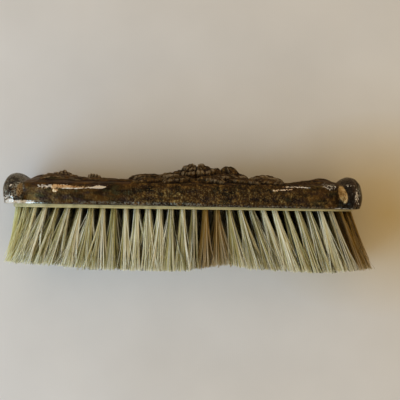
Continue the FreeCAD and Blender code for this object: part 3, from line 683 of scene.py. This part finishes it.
def back_surface(azimuth, start, run, rise, relief):
    """Points of the back as (u, w, v) on a grid of columns round it by rows from its rim to its
    crown, with what lies around each point. A point is where back_form is 0 on its ray, found by
    halving the ray 24 times. The hammered face, the bead and the ornament are then added. The shade
    of a point is how far it lies below its neighbours, counted 1.7 times over where the relief is
    low; it is painted into the colour as shade in the recesses and as a highlight on the ridges."""
    length = np.hypot(run, rise)
    du, dv = (turn(azimuth)[:, None] * run / length for turn in (np.cos, np.sin))
    dw = rise / length

    def at(distance):
        u = start[:, None] + distance * du
        return u, RIM_LIFT + RIM_SLOPE * u + distance * dw, distance * dv

    near, far = np.full(length.shape, 2.0), np.full(length.shape, 60.0)
    for _ in range(24):
        middle = (near + far) / 2
        inside = back_form(*at(middle)) < 0
        near, far = np.where(inside, middle, near), np.where(inside, far, middle)
    distance = (near + far) / 2
    u, w, v = at(distance)
    lift = w - RIM_LIFT - RIM_SLOPE * u
    slopes = [back_form(u + a, w + b, v + c) for a, b, c in 0.05 * np.eye(3)]
    normal = np.stack(slopes, -1) - back_form(u, w, v)[..., None]
    normal /= np.linalg.norm(normal, axis=-1, keepdims=True) + 1e-12
    place = np.stack([u, w, v], -1)

    pebbled = np.clip(0.25 + 0.75 * step(u, -34, -14) - 0.35 * step(u, 44, 62), 0, 1)
    hammered = soft_random(place, 3.1, 3) * 0.26 + soft_random(place, 1.3, 5) * 0.2 * pebbled
    bead = 0.42 * np.sqrt(np.clip(1 - ((lift - 0.4) / 0.58) ** 2, 0, 1))
    edge = soft_random(place, 5.0, 21)
    upward = step(normal[..., 1], 0.3 * edge - 0.02, 0.3 + 0.45 * edge)
    raised = ornament(u, v) * relief * upward
    wobble = (soft_random(place, 1.5, 9) - 0.5) * 0.4 * step(raised, 0.3, 1.5)
    skin = place + normal * (bead - hammered)[..., None]
    skin[..., 1] += raised + wobble
    depth = raised + wobble - hammered
    # shade: painted later as shade in the recesses and as highlights on the ridges
    shade = 1.5 * (spread_out(depth, 6) - depth) + 2.4 * (spread_out(depth, 2) - depth)
    shade = shade * (1 + 0.7 * step(-u, 30, 40))
    shade = np.where(shade > 0, shade * step(normal[..., 1], 0.3, 0.75), shade)
    gauge = 0.5 + 0.4 * np.linspace(0, 1, len(rise))
    inner, cast = (np.stack(at(distance - gap), -1) for gap in (gauge, gauge + PITCH_GAP))
    facts = {"u": u, "w": w, "v": v, "lift": lift, "shade": shade, "pebbled": pebbled, "raised": raised}
    return skin, inner, cast, facts


def sheet_faces(straight, fan, skin, inner):
    """Joins an outer and an inner grid and the edge between them into one closed sheet. On the
    middle line of the crown the columns of both sides share their points, and a fan's meet in one."""
    columns = 2 * (straight + fan)
    top = np.concatenate([
        np.arange(straight), np.full(fan, straight - 1), np.arange(straight)[::-1], np.zeros(fan, int)])

    def points_and_index(grid, first):
        body = grid[:, :-1].reshape(-1, 3)
        index = np.empty(grid.shape[:2], int)
        index[:, :-1] = first + np.arange(len(body)).reshape(columns, -1)
        index[:, -1] = first + len(body) + top
        return np.concatenate([body, grid[:straight, -1]]), index

    def strips(index):
        nxt = np.roll(index, -1, 0)
        quads = np.stack([index[:, :-1], nxt[:, :-1], nxt[:, 1:], index[:, 1:]], -1).reshape(-1, 4)
        pole = quads[:, 2] == quads[:, 3]
        return quads[~pole], quads[pole][:, :3]

    outer_points, outer = points_and_index(skin, 0)
    inner_points, inside = points_and_index(inner, len(outer_points))
    flat_out, pole_out = strips(outer)
    flat_in, pole_in = strips(inside)
    rim = np.stack([inside[:, 0], np.roll(inside[:, 0], -1), np.roll(outer[:, 0], -1), outer[:, 0]], -1)
    quads = np.concatenate([flat_out, flat_in[:, ::-1], rim])
    triangles = np.concatenate([pole_out, pole_in[:, ::-1]])
    return np.concatenate([outer_points, inner_points]), [quads, triangles], len(outer_points)


def seat_surface(cast, azimuth, start):
    """The hollow in the pitch that the boards sit in: on every column a point 0.15 mm outside the
    boards' outline, at the height of the rim and at the top of the boards, and then the middle line.
    Past the straight part the outline is a circle round u = 62.5, met by a ray at
    t = -d cos a + sqrt(r^2 - (d sin a)^2) from a spine point d beyond its middle."""
    radius = BOARD_RADIUS + PITCH_GAP
    beyond = np.clip(np.abs(start) - HALF_STRAIGHT, 0, None)
    away = np.abs(np.cos(azimuth)) * (np.abs(start) > SPINE_END - 1e-9)
    reach = -beyond * away + np.sqrt(radius**2 - beyond**2 * (1 - away**2))
    u, v = start + reach * np.cos(azimuth), reach * np.sin(azimuth)
    top = np.full_like(u, SEAT_HEIGHT + PITCH_GAP)
    outline = [np.stack([u, height, v], -1) for height in (cast[:, 0, 1], top)]
    return np.stack([*outline, np.stack([start, top, np.zeros_like(u)], -1)], 1)


def strokes(u, w, *rows):
    """The sum of strokes along u. A stroke is its strength times a soft length, from the four places
    where it starts, is full, fades and ends, times a bell across w, from its middle and reach."""
    return sum(
        strength * between(u, *span) * bump(w, middle, reach) for strength, span, middle, reach in rows)


def spots(u, w, *rows):
    """The sum of round spots. A spot is its strength times a bell along u and one across w, each
    from its middle and reach."""
    return sum(strength * bump(u, *along) * bump(w, *up) for strength, along, up in rows)


def worn_places_and_glints(u, w, v, lift):
    """How much copper, and how much bright silver shows: rubbed clean, and painted glints and
    reflections. Copper shows in strokes along the ridge, and silver at their edges; painted glints and
    reflections lie on the lobes, along the rim and along its bead, all but one on the side of +v."""
    near = v > 0
    thin = step(u, -58, -46)
    specks = (-70, -67.5, -61.5, -60)
    long_line = 9.0 + 0.03 * (u + 60)
    low_line = 9.25 + 0.085 * (u - 41.6)
    high_line = 11.3 - 0.006 * (u - 54.0) ** 2
    worn = near * spots(u, w, (1.1, (-60.0, 1.6), (8.0, 0.9)))
    worn = worn + near * strokes(
        u, w,
        (1.05 - 0.5 * thin, (-62.5, -60.5, -46, -41), 10.2 - 0.35 * thin, 0.9 - 0.45 * thin),
        (0.45, specks, 9.4, 0.8),
        (0.27, (-59, -55, -43, -41), long_line, 0.6),
        (0.5, (-43, -41, -36, -34), 10.1, 0.9),
        (0.62, (45.5, 47.5, 53, 56), high_line, 0.4),
        (0.78, (40, 43, 51, 54), low_line, 0.4),
    )
    worn = worn + ~near * strokes(u, w, (0.9, (-30, -22, 30, 52), 10.2, 0.6))
    # painted reflection low on the end of the left lobe
    silver_and_glint = 0.44 * step(-u, 78.5, 80.5) * (1 - step(w, 5.0, 8.0)) * (v > 6)
    # painted glints along the right end of the rim and along the bead
    silver_and_glint = silver_and_glint + strokes(u, lift, (0.66, (71, 73, 80, 82), 0.4, 0.3), (0.12, *BEAD_LINE))
    # a painted glint along the left end of the rim
    silver_and_glint = silver_and_glint + strokes(-u, lift, (1.3, (67, 74.5, 82, 85), 0.6, 0.7))
    # a worn speck, then a painted reflection and painted glints on the lobes
    silver_and_glint = silver_and_glint + spots(
        u, w,
        (0.6, (-56, 3.0), (10.9, 0.4)),
        (0.58 * (v > 8), (83.0, 2.2), (7.0, 4.8)),
        (0.85, (-81.9, 0.9), (10.3, 0.6)),
        (0.75, (-77.8, 0.6), (11.8, 0.5)),
        (0.5, (79.0, 1.8), (12.6, 0.9)),
    )
    silver_and_glint = silver_and_glint + strokes(
        u, w,
        (0.9, (-59, -55, -38, -36), long_line, 0.3),
        (0.95, (-43, -41, -37, -34), 10.1, 0.3 + 0.45 * bump(u, -39.5, 2.5)),
        (0.52, specks, 10.2, 1.1),
        (0.74, (40.5, 43, 50, 53), low_line, 0.32),
        (0.74, (46.5, 49, 59.5, 62.5), high_line, 0.34),
        (0.44, (65, 67, 72, 74), 11.6, 2.6),
    )
    return worn, near * silver_and_glint


def wear_and_painted_light(facts):
    """How use has marked the back, from 0 to 1, with the light and shade painted on it: the worn
    places and painted glints, a brassy spot on each lobe's side, a rim and lobes rubbed smooth with
    painted highlights and a painted reflection on them, blotches left dark on the left lobe, painted
    shade in the hollows and under the rim, and painted highlights on the ornament's ridges."""
    u, w, v, lift = facts["u"], facts["w"], facts["v"], facts["lift"]
    near = v > 0
    worn, silver_and_glint = worn_places_and_glints(u, w, v, lift)
    right_spot = np.hypot((u - 76.1 + 0.2 * (w - 8.2)) / 1.9, (w - 8.2) / 4.2)
    left_spot = np.hypot((u + 77.4) / 2.2, (w - 8.4) / 5.0)
    brassy = near * np.clip(
        (u > 70) * (1.5 - right_spot)
        + 0.5 * step(1.4 - left_spot, 0, 0.9) * (u < -70) * step(w, 2.0, 5.0)
        + strokes(u, w, (0.47, (-54, -51, -43, -41), 10.3, 0.8)), 0, 1)
    ends, tall = step(np.abs(u), 74.5, 78), 0.3 * step(facts["raised"], 0.5, 2.5)
    left_end, right_end = ends * (u < 0), ends * (u > 0)
    halo = 0.5 * near * (u > 66) * bump(right_spot, 1.75, 0.9)
    # painted shade just above the rim, where it meets the bristle board
    under = 0.7 * bump(lift, 0, 0.45) * (0.6 + 0.4 * step(u, -20, 10))
    blotch = left_end * step(soft_random(np.stack([u, w, v], -1), 1.9, 31), 0.44, 0.6)
    clean_end = left_end * (0.2 + 0.8 * step(v, -8, 6)) * (1 - 0.75 * blotch)
    # a faint grey over the right lobe, and a painted reflection on its outer side
    right_lobe_reflection = right_end * (0.05 + 0.5 * bump(u, 85.3, 1.3) * bump(w, 9.8, 3.0) * (v > 0))
    # rim rubbed smooth; its grey colour is a painted glint along the left end and painted highlights along
    # the bead
    rubbed = 0.85 * step(-u, 62, 72) * bump(lift, 0.5, 0.7) + 0.25 * bump(lift, 0.6, 0.4)
    rubbed = rubbed + strokes(u, lift, (0.45, *BEAD_LINE))
    lobes = 0.62 * right_end + 0.1 * left_end + 0.75 * blotch
    return {
        "worn_through": worn,
        "bare_silver": silver_and_glint,
        "brassy": brassy,
        "rubbed": np.clip(rubbed + 0.8 * clean_end + right_lobe_reflection, 0, 1),
        "smooth": np.clip(rubbed + 0.9 * ends + 0.45 * (1 - facts["pebbled"]), 0, 1),
        "pebbled": np.clip(facts["pebbled"] + 0.5 * left_end, 0, 1),
        # painted shade in the recesses and under the rim; the lobes, the ring round the right spot and the
        # raised ornament are darker too
        "hollow": np.clip(facts["shade"] + lobes + halo + under + tall, 0, 0.92),
        # painted highlights on the ridges of the ornament
        "crest": np.clip(-facts["shade"] * 1.3 - 1.2, 0, 0.7) * step(facts["raised"], 0.2, 1.0),
    }


def build_back(settings):
    """The stamped sheet with its rim, inner wall and ornament as one closed piece, and the pitch
    cast into it, whose other side is the seat of the boards."""
    counts = FINE_GRID
    straight, fan = counts[:2]
    azimuth, start, run, rise = ray_grid(*counts)
    skin, inner, cast, facts = back_surface(azimuth, start, run, rise, settings.relief)
    low, high = (np.array(c) * 1000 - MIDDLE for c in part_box("silver_back"))
    skin = np.clip(skin, low, high)
    last = skin.shape[1] - 1
    inner = inner[:, np.linspace(0, last, 15).astype(int)]
    points, faces, outer_count = sheet_faces(straight, fan, skin, inner)
    material = tarnished_silver_plate(settings)
    piece = new_piece("silver_back_sheet", points, faces, material, ["silver_back"])
    wear_and_light = {}
    for name, grid in wear_and_painted_light(facts).items():
        outer = np.concatenate([grid[:, :-1].ravel(), grid[:straight, -1]])
        wear_and_light[name] = np.concatenate([outer, np.zeros(len(points) - outer_count)])
    paint(piece, **wear_and_light)

    cast = cast[:, np.linspace(4, last, 14).astype(int)]
    points, faces, _ = sheet_faces(straight, fan, cast, seat_surface(cast, azimuth, start))
    new_piece("pitch_cast", points, faces, set_pitch(), ["pitch_filling"])


# ---------------------------------------------------------------- the bristle


def ring_holes(ring):
    """(u, v) of the holes of a ring: its radius is 19.2 (1 - ring / 3.5), in 23 columns along each
    straight side and at even angles round each end, about 5.35 mm apart."""
    radius, spacing = OUTER_RADIUS * (1 - ring / 3.5), 2 * HALF_STRAIGHT / HOLE_COLUMNS
    steps = max(1, int(np.pi * radius / HOLE_SPACING))
    line = HALF_STRAIGHT - spacing * (np.arange(HOLE_COLUMNS) + 0.5)
    turn = np.pi * ((np.arange(steps) + 0.5) / steps - 0.5)
    ends = np.stack([HALF_STRAIGHT + radius * np.cos(turn), radius * np.sin(turn)], -1)
    sides = [np.stack([line, np.full(HOLE_COLUMNS, side * radius)], -1) for side in (1, -1)]
    return np.concatenate([ends, -ends, *sides])


def tip_centre(u, v):
    """Where the middle of a tuft's tip lies: pushed over along the brush by 8 mm to the left and 9.4
    to the right, with smooth starts and up to 3.4 less in the last 20 on the left, and spread across
    until the middles of the outer tips are 22.6 from the axis."""
    left, right = 1 - step(u, -60, -28), step(u, 11, 32)
    upright = np.clip(1 - (u + HALF_STRAIGHT + OUTER_RADIUS) / 20, 0, 1)
    lean = 9.4 * right - 8.0 * left + 3.4 * upright
    return u + lean, v * 22.6 / OUTER_RADIUS


def strands_of(holes, count, ring, settings, rng):
    """Centre lines of the bristles of some tufts, as points (strand, station, 3), with the numbers
    that the material reads. A tuft's bristles are drawn in locks: each lock has its own place in a
    round bundle, and its bristles close up towards the tip; a sixth of the locks and a twentieth of
    the bristles stray from the rest. The bundle stays narrow at first, while it leans over in a
    straight line, and widens with the distance to its neighbours' tips. A centre line is
    (1 - t)^2 root + 2 t (1 - t) bend + t^2 tip."""
    tufts, steps = len(holes), np.arange(LOCKS)
    angle = rng.random((tufts, 1)) * 6.28 + steps * GOLDEN_TURN
    radius = np.sqrt((steps + 0.5) / LOCKS) * (1 + 0.14 * rng.standard_normal((tufts, LOCKS)))
    lock_u, lock_v = radius * np.cos(angle), radius * np.sin(angle)
    lock_tone, lock_end = rng.standard_normal((2, tufts, LOCKS))
    which = rng.integers(0, LOCKS, (tufts, count))
    row = np.arange(tufts)[:, None]
    loose = rng.standard_normal((6, tufts, count))
    in_u, in_v = lock_u[row, which], lock_v[row, which]
    hole_u, hole_v = holes[:, :1], holes[:, 1:]
    at_u, at_v = in_u + 0.3 * loose[0], in_v + 0.3 * loose[1]
    bundle = settings.hole_radius * 1000 / np.maximum(np.hypot(at_u, at_v), 1)
    root = np.stack([hole_u + bundle * at_u, np.full_like(in_u, ROOT_HEIGHT), hole_v + bundle * at_v], -1)

    tip_u, tip_v = tip_centre(hole_u, hole_v)
    reach = settings.tuft_spread * 1000
    stray = rng.random((tufts, count)) < 0.05
    apart = 3.0 * (rng.random((tufts, LOCKS)) < 0.16) * rng.standard_normal((tufts, LOCKS))
    apart = apart * (0.6 + 0.7 * (hole_u < 0))
    before, after = (tip_centre(hole_u + d, hole_v)[0] for d in (-2.7, 2.7))
    spread_u = reach * (after - before) / 5.4 * (in_u + 0.05 * loose[2])
    spread_u = spread_u + 0.5 * rng.standard_normal((tufts, 1))
    spread_u = spread_u + apart[row, which] + 3.6 * stray * loose[4]
    spread_v = (0.95 if ring else 0.75) * reach * (in_v + 0.12 * loose[3])
    spread_v = spread_v + 1.6 * stray * np.abs(loose[5]) * np.sign(hole_v)
    limit = SIDE_TIP - np.abs(loose[1]) * 0.3
    end_v = np.clip(tip_v + spread_v, -limit, limit)
    end_u, uneven = tip_u + spread_u, 0.3 * np.abs(loose[2])
    end_u = np.maximum(end_u, LEFT_TIP + 0.5 * np.clip(LEFT_TIP - end_u, 0, 6) + uneven)
    end_u = np.minimum(end_u, RIGHT_TIP - 0.5 * np.clip(end_u - RIGHT_TIP, 0, 6) - uneven + 0.5 * stray)
    ragged = 0.4 * lock_end[row, which] + 0.25 * np.abs(loose[3])
    short = (rng.random((tufts, count)) < 0.1) * rng.random((tufts, count)) * 4.0
    end_w = np.maximum(curve_through(end_u, TIP_LINE) + ragged + short, -BRISTLE_LENGTH + 0.02)
    tip = np.stack([end_u, end_w, end_v], -1)

    level = np.zeros_like(in_u)
    middle = np.stack([tip_u + level, level, tip_v + level], -1)
    foot = np.stack([hole_u + level, level, hole_v + level], -1)
    bend = foot + 0.43 * (middle - foot) + 0.72 * (root - foot) + 0.17 * (tip - middle)
    bend = bend + 0.22 * rng.standard_normal((tufts, count, 3))
    bend[..., 1] = ROOT_HEIGHT + 0.43 * (end_w - ROOT_HEIGHT)
    t = np.linspace(0, 1, STATIONS)[:, None]
    shares = (1 - t) ** 2, 2 * t * (1 - t), t * t
    lines = sum(share * points[..., None, :] for share, points in zip(shares, (root, bend, tip)))

    tone = 0.56 + 0.35 * lock_tone[row, which] + 0.17 * loose[0] + 0.05 * rng.standard_normal((tufts, 1))
    tone = tone + 0.35 * stray + 0.3 * (apart[row, which] != 0)
    # tufts discoloured brown near the middle
    stain = 1.5 * step(hole_v, 0, 8) * bump(hole_u, 13.4, 5.0)
    # painted warm shade on the tufts at the right end
    stain = stain + 1.25 * step(hole_u, 69, 73) * step(hole_v, -6, 4)
    stain = stain * (0.7 + 0.5 * rng.random(tone.shape))
    yellow = 0.6 * (1 - step(hole_u, -78, -66)) + 0.3 * rng.random(tone.shape)
    tone = tone + 0.42 * (1 - step(hole_u, -80, -70))
    return lines.reshape(-1, STATIONS, 3), [numbers.ravel() for numbers in (tone, stain, yellow)]


def bristle_mesh(lines, radius):
    """Three-sided hairs round centre lines, each with its own radius at the root: the corners of a
    station are 120 degrees apart in the plane of the board, at a radius that tapers to 0.55 of the
    first, and a triangle closes each end."""
    count, stations = lines.shape[:2]
    turn = np.arange(count)[:, None] * GOLDEN_TURN + np.array([0, 2.0944, 4.18879])
    ring = np.stack([np.cos(turn), np.zeros_like(turn), np.sin(turn)], -1)
    taper = radius[:, None] * (1 - 0.45 * np.linspace(0, 1, stations) ** 1.5)
    points = lines[:, :, None, :] + taper[:, :, None, None] * ring[:, None]
    index = np.arange(count * stations * 3).reshape(count, stations, 3)
    nxt = np.roll(index, -1, 2)
    sides = np.stack([index[:, :-1], nxt[:, :-1], nxt[:, 1:], index[:, 1:]], -1).reshape(-1, 4)
    ends = np.concatenate([index[:, 0, ::-1], index[:, -1]])
    return points.reshape(-1, 3), [sides, ends]


def build_bristle(settings):
    """One piece of bristle for each CAD node of tufts: a side of a ring. Bristles are painted darker
    towards their roots in the rings that lie deeper, as shade."""
    material = boar_bristle(settings)
    thinning, thickening = ((1, 1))
    for ring, (name, counts, shade) in enumerate(zip(RINGS, BRISTLES, ROOT_SHADE)):
        holes = ring_holes(ring)
        front = holes[:, 1] > 1e-6
        for side, chosen, count in zip(("front", "back"), (holes[front], holes[~front]), counts):
            rng = np.random.default_rng(17 + 2 * ring + (side == "front"))
            lines, (tone, stain, yellow) = strands_of(chosen, count // thinning, ring, settings, rng)
            radius = settings.fibre_radius * 1000 * thickening * (0.75 + 0.5 * np.clip(tone, 0, 1.2))
            points, faces = bristle_mesh(lines, radius)
            node = f"tufts_{name}_{side}"
            piece = new_piece(f"bristle_{name}_{side}", points, faces, material, [node])
            along = np.broadcast_to(np.linspace(0, 1, STATIONS)[:, None], (len(lines), STATIONS, 3))
            tone, stain, yellow = (
                np.repeat(numbers, 3 * STATIONS).reshape(along.shape) for numbers in (tone, stain, yellow))
            # painted shade: darker towards the roots in the deeper rings, and along most of the length
            # behind the outer ring
            dark = np.maximum(shade * (1 - along) ** 1.3, 0.42 * (ring > 0) * (1 - along**4))
            brown = np.clip(stain * (1.1 - 0.45 * along), 0, 1)
            paint(piece, tone=np.clip(tone, 0, 1), stain=brown, yellow=yellow, along=along, buried=dark)


# ---------------------------------------------------------------- add-on


class BackSettings(bpy.types.PropertyGroup):
    """Sizes and colours of the silver back."""

    relief: bpy.props.FloatProperty(
        name="Ornament height", description="Height of the stamped flowers as a share of full depth",
        default=1.0, min=0.0, max=1.0, subtype="FACTOR")
    tarnish: bpy.props.FloatVectorProperty(
        name="Tarnish", description="Skin of sulphide over most of the back",
        default=linear("#3e2b12"), min=0, max=1, subtype="COLOR", size=3)
    flecks: bpy.props.FloatVectorProperty(
        name="Flecks", description="Thin places in the tarnish",
        default=linear("#866a39"), min=0, max=1, subtype="COLOR", size=3)
    copper: bpy.props.FloatVectorProperty(
        name="Copper", description="Base metal where the plate is worn through",
        default=linear("#e5b57f"), min=0, max=1, subtype="COLOR", size=3)
    # also the colour of the painted glints on the rim, its bead and the lobes
    silver: bpy.props.FloatVectorProperty(
        name="Bare silver", description="Plate rubbed clean",
        default=linear("#f2ebdf"), min=0, max=1, subtype="COLOR", size=3)


class BristleSettings(bpy.types.PropertyGroup):
    """Sizes and colours of the bristle."""

    fibre_radius: bpy.props.FloatProperty(
        name="Bristle radius", description="Radius of one bristle at its root",
        default=0.000115, min=0.00005, max=0.0003, precision=6, unit="LENGTH", subtype="DISTANCE")
    hole_radius: bpy.props.FloatProperty(
        name="Bundle radius", description="Radius of a tuft where it leaves its hole",
        default=0.00118, min=0.0005, max=0.00132, precision=5, unit="LENGTH", subtype="DISTANCE")
    tuft_spread: bpy.props.FloatProperty(
        name="Tuft spread", description="Radius of a tuft at its tip, along the brush",
        default=0.0036, min=0.001, max=0.006, precision=5, unit="LENGTH", subtype="DISTANCE")
    bristle: bpy.props.FloatVectorProperty(
        name="Bristle", description="Undyed boar bristle",
        default=linear("#dcd694"), min=0, max=1, subtype="COLOR", size=3)
    # the brown of the discoloured tufts and of the painted shade at the right end
    stain: bpy.props.FloatVectorProperty(
        name="Stain", description="Tint of the tufts that have turned brown",
        default=linear("#a3803c"), min=0, max=1, subtype="COLOR", size=3)


class BoardSettings(bpy.types.PropertyGroup):
    """Colours of the two boards."""

    lacquer: bpy.props.FloatVectorProperty(
        name="Lacquer", description="Ivory lacquer on the bristle board",
        default=linear("#cdc08b"), min=0, max=1, subtype="COLOR", size=3)
    beech: bpy.props.FloatVectorProperty(
        name="Beech", description="Cover board over the wire",
        default=linear("#b98f63"), min=0, max=1, subtype="COLOR", size=3)


class StageSettings(bpy.types.PropertyGroup):
    """The cloth, the lamps and the camera."""

    cloth: bpy.props.FloatVectorProperty(
        name="Cloth", description="Cotton sheet under the brush",
        default=linear("#e0dfdf"), min=0, max=1, subtype="COLOR", size=3)
    room: bpy.props.FloatVectorProperty(
        name="Room light", description="Warm light that comes from all round",
        default=(0.64, 0.495, 0.30), min=0, max=1, subtype="COLOR", size=3)
    wall: bpy.props.FloatVectorProperty(
        name="Wall", description="Pale wall that the camera and reflections see",
        default=(0.72, 0.67, 0.61), min=0, max=1, subtype="COLOR", size=3)
    ceiling: bpy.props.FloatVectorProperty(
        name="Ceiling", description="Dim ceiling that reflections see straight above",
        default=(0.30, 0.26, 0.22), min=0, max=1, subtype="COLOR", size=3)
    window: bpy.props.FloatVectorProperty(
        name="Window light", description="Cool light of the large low window",
        default=(0.40, 0.68, 1.0), min=0, max=1, subtype="COLOR", size=3)
    window_power: bpy.props.FloatProperty(
        name="Window power", description="Power of the window's lamp",
        default=4.0, min=0, max=100, unit="POWER")
    camera_height: bpy.props.FloatProperty(
        name="Camera height", description="Camera above the cloth",
        default=0.475, min=0.2, max=2.0, unit="LENGTH", subtype="DISTANCE")
    focal_length: bpy.props.FloatProperty(
        name="Focal length", description="Lens, for a sensor 36 mm wide",
        default=81.4, min=20, max=300, unit="CAMERA")


class BRUSH_OT_back(bpy.types.Operator):
    """Build the stamped silver back and the pitch in it"""

    bl_idname = "brush.back"
    bl_label = "Silver back"

    def execute(self, context):
        build_back(context.scene.brush_back)
        return {"FINISHED"}


class BRUSH_OT_bristle(bpy.types.Operator):
    """Build the bristle of every tuft"""

    bl_idname = "brush.bristle"
    bl_label = "Bristle"

    def execute(self, context):
        build_bristle(context.scene.brush_bristle)
        return {"FINISHED"}


class BRUSH_OT_boards(bpy.types.Operator):
    """Finish the boards and the drawing wires"""

    bl_idname = "brush.boards"
    bl_label = "Boards and wires"

    def execute(self, context):
        colours = context.scene.brush_boards
        wire = drawn_brass_wire()
        finishes = {
            "bristle_board": (ivory_lacquered_wood(colours), "board_wood"),
            "cover_board": (beech_cover(colours), "cover_wood"),
            **{f"drawing_wire_{ring}": (wire, "brass_wire") for ring in RINGS},
        }
        for name, (material, slot) in finishes.items():
            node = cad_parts[name]
            node.data.materials.clear()
            node.data.materials.append(material)
        return {"FINISHED"}


class BRUSH_OT_stage(bpy.types.Operator):
    """Lay the cloth, hang the lamps and set the camera"""

    bl_idname = "brush.stage"
    bl_label = "Cloth, lamps and camera"

    def execute(self, context):
        settings, scene = context.scene.brush_stage, context.scene
        lay_cloth(settings)
        world = bpy.data.worlds.new("room")
        world.use_nodes = True
        light_the_room(world.node_tree, settings)
        scene.world = world
        hang_lamp("window", WINDOW_PLACE, WINDOW_SIZE, settings.window_power, settings.window)
        camera = bpy.data.objects.new("camera", bpy.data.cameras.new("camera"))
        camera.data.lens, camera.data.sensor_width = settings.focal_length, 36
        camera.data.clip_start = 0.01
        camera.location = (*(MIDDLE[:2] + CAMERA_SHIFT) / 1000, settings.camera_height)
        camera.rotation_euler = (0, 0, np.radians(CAMERA_TURN))
        scene.collection.objects.link(camera)
        scene.camera = camera
        scene.view_settings.view_transform = "Standard"
        return {"FINISHED"}


def light_the_room(tree, settings):
    """Warm light from all round. Rays from the camera and mirror-like rays see a pale wall instead,
    which turns into a dim ceiling straight above."""
    rays = tree.nodes.new("ShaderNodeLightPath")
    glossy = add(tree, "Math", operation="MAXIMUM", links=[
        (0, rays.outputs["Is Glossy Ray"]), (1, rays.outputs["Is Transmission Ray"])])
    seen = add(tree, "Math", operation="MAXIMUM", links=[(0, rays.outputs["Is Camera Ray"]), (1, glossy)])
    direction = add(tree, "TexCoord", result="Generated")
    upward = add(tree, "SeparateXYZ", links=[(0, direction)], result=2)
    upward = add(tree, "MapRange", links=[(0, upward), (1, 0.3), (2, 0.95), (3, 0.0), (4, 1.0)])
    around = add(tree, "Mix", result=2, data_type="RGBA", links=[
        (0, upward), (6, tuple(settings.wall)), (7, tuple(settings.ceiling))])
    colour = add(tree, "Mix", result=2, data_type="RGBA", links=[
        (0, seen), (6, tuple(settings.room)), (7, around)])
    tree.links.new(colour, tree.nodes["Background"].inputs["Color"])


def lay_cloth(settings):
    """The floor: a cotton sheet 3 m wide, flat under the brush. Away from it the sheet dips in long
    soft folds up to 3 mm deep, the sum of two bent sine waves and a random field, and never rises
    above 0."""
    side = np.concatenate([[-1.5, -0.8], np.linspace(-0.45, 0.45, 241), [0.8, 1.5]])
    x, y = np.meshgrid(side, side, indexing="ij")
    place = np.stack([x, y, np.zeros_like(x)], -1) * 1000
    folds = 0.6 * np.sin(x * 31 + y * 23 + 1.6 * np.sin(y * 19 + 1)) + 0.4 * np.sin(y * 44 - x * 17 + 2)
    creases = np.abs(soft_random(place, 34, 8) - 0.5) ** 0.6
    away = step(np.hypot(np.clip(np.abs(x) - 0.09, 0, None), np.clip(np.abs(y) - 0.03, 0, None)), 0.0, 0.05)
    drape = away * (1.1 * (folds - 1) - 1.6 * soft_random(place, 62, 4) - 0.5 * (0.7 - creases))
    inner = (np.abs(x) < 0.46) & (np.abs(y) < 0.46)
    height = np.where(inner, np.minimum(drape, 0) - 0.02, -0.02) * 0.001
    index = np.arange(x.size).reshape(x.shape)
    faces = np.stack([index[:-1, :-1], index[1:, :-1], index[1:, 1:], index[:-1, 1:]], -1).reshape(-1, 4)
    mesh = bpy.data.meshes.new("cotton_sheet")
    mesh.from_pydata(np.stack([x, y, height], -1).reshape(-1, 3).tolist(), [], faces.tolist())
    mesh.polygons.foreach_set("use_smooth", np.ones(len(faces), bool))
    mesh.materials.append(bleached_cotton(settings))
    cloth = bpy.data.objects.new("cotton_sheet", mesh)
    bpy.context.scene.collection.objects.link(cloth)


def hang_lamp(name, place, size, power, colour):
    """A square lamp that faces the middle of the brush."""
    lamp = bpy.data.lights.new(name, "AREA")
    lamp.size, lamp.energy, lamp.color = size, power, colour
    holder = bpy.data.objects.new(name, lamp)
    holder.location = place
    holder.rotation_euler = (Vector((0, 0, 0.02)) - Vector(place)).to_track_quat("-Z", "Y").to_euler()
    bpy.context.scene.collection.objects.link(holder)


class BRUSH_PT_panel(bpy.types.Panel):
    """Everything that the brush is made of, with its sizes and colours."""

    bl_idname = "BRUSH_PT_panel"
    bl_label = "Clothes brush"
    bl_space_type = "VIEW_3D"
    bl_region_type = "UI"
    bl_category = "Brush"

    def draw(self, context):
        for settings, operator in PARTS:
            box = self.layout.box()
            group = getattr(context.scene, settings)
            for name in type(group).__annotations__:
                box.prop(group, name)
            box.operator(operator)


PARTS = (
    ("brush_back", "brush.back"),
    ("brush_bristle", "brush.bristle"),
    ("brush_boards", "brush.boards"),
    ("brush_stage", "brush.stage"),
)
GROUPS = (BackSettings, BristleSettings, BoardSettings, StageSettings)
CLASSES = (*GROUPS, BRUSH_OT_back, BRUSH_OT_bristle, BRUSH_OT_boards, BRUSH_OT_stage, BRUSH_PT_panel)


def register():
    """Registers the classes and hangs each group of settings on the scene."""
    for cls in CLASSES:
        bpy.utils.register_class(cls)
    for (settings, _), group in zip(PARTS, GROUPS):
        setattr(bpy.types.Scene, settings, bpy.props.PointerProperty(type=group))


def unregister():
    """Takes the settings and the classes away again."""
    for settings, _ in PARTS:
        delattr(bpy.types.Scene, settings)
    for cls in reversed(CLASSES):
        bpy.utils.unregister_class(cls)


def main():
    """Builds everything in order."""
    register()
    bpy.ops.brush.back()
    bpy.ops.brush.bristle()
    bpy.ops.brush.boards()
    bpy.ops.brush.stage()
    bpy.context.view_layer.update()


if __name__ == "__main__":
    main()
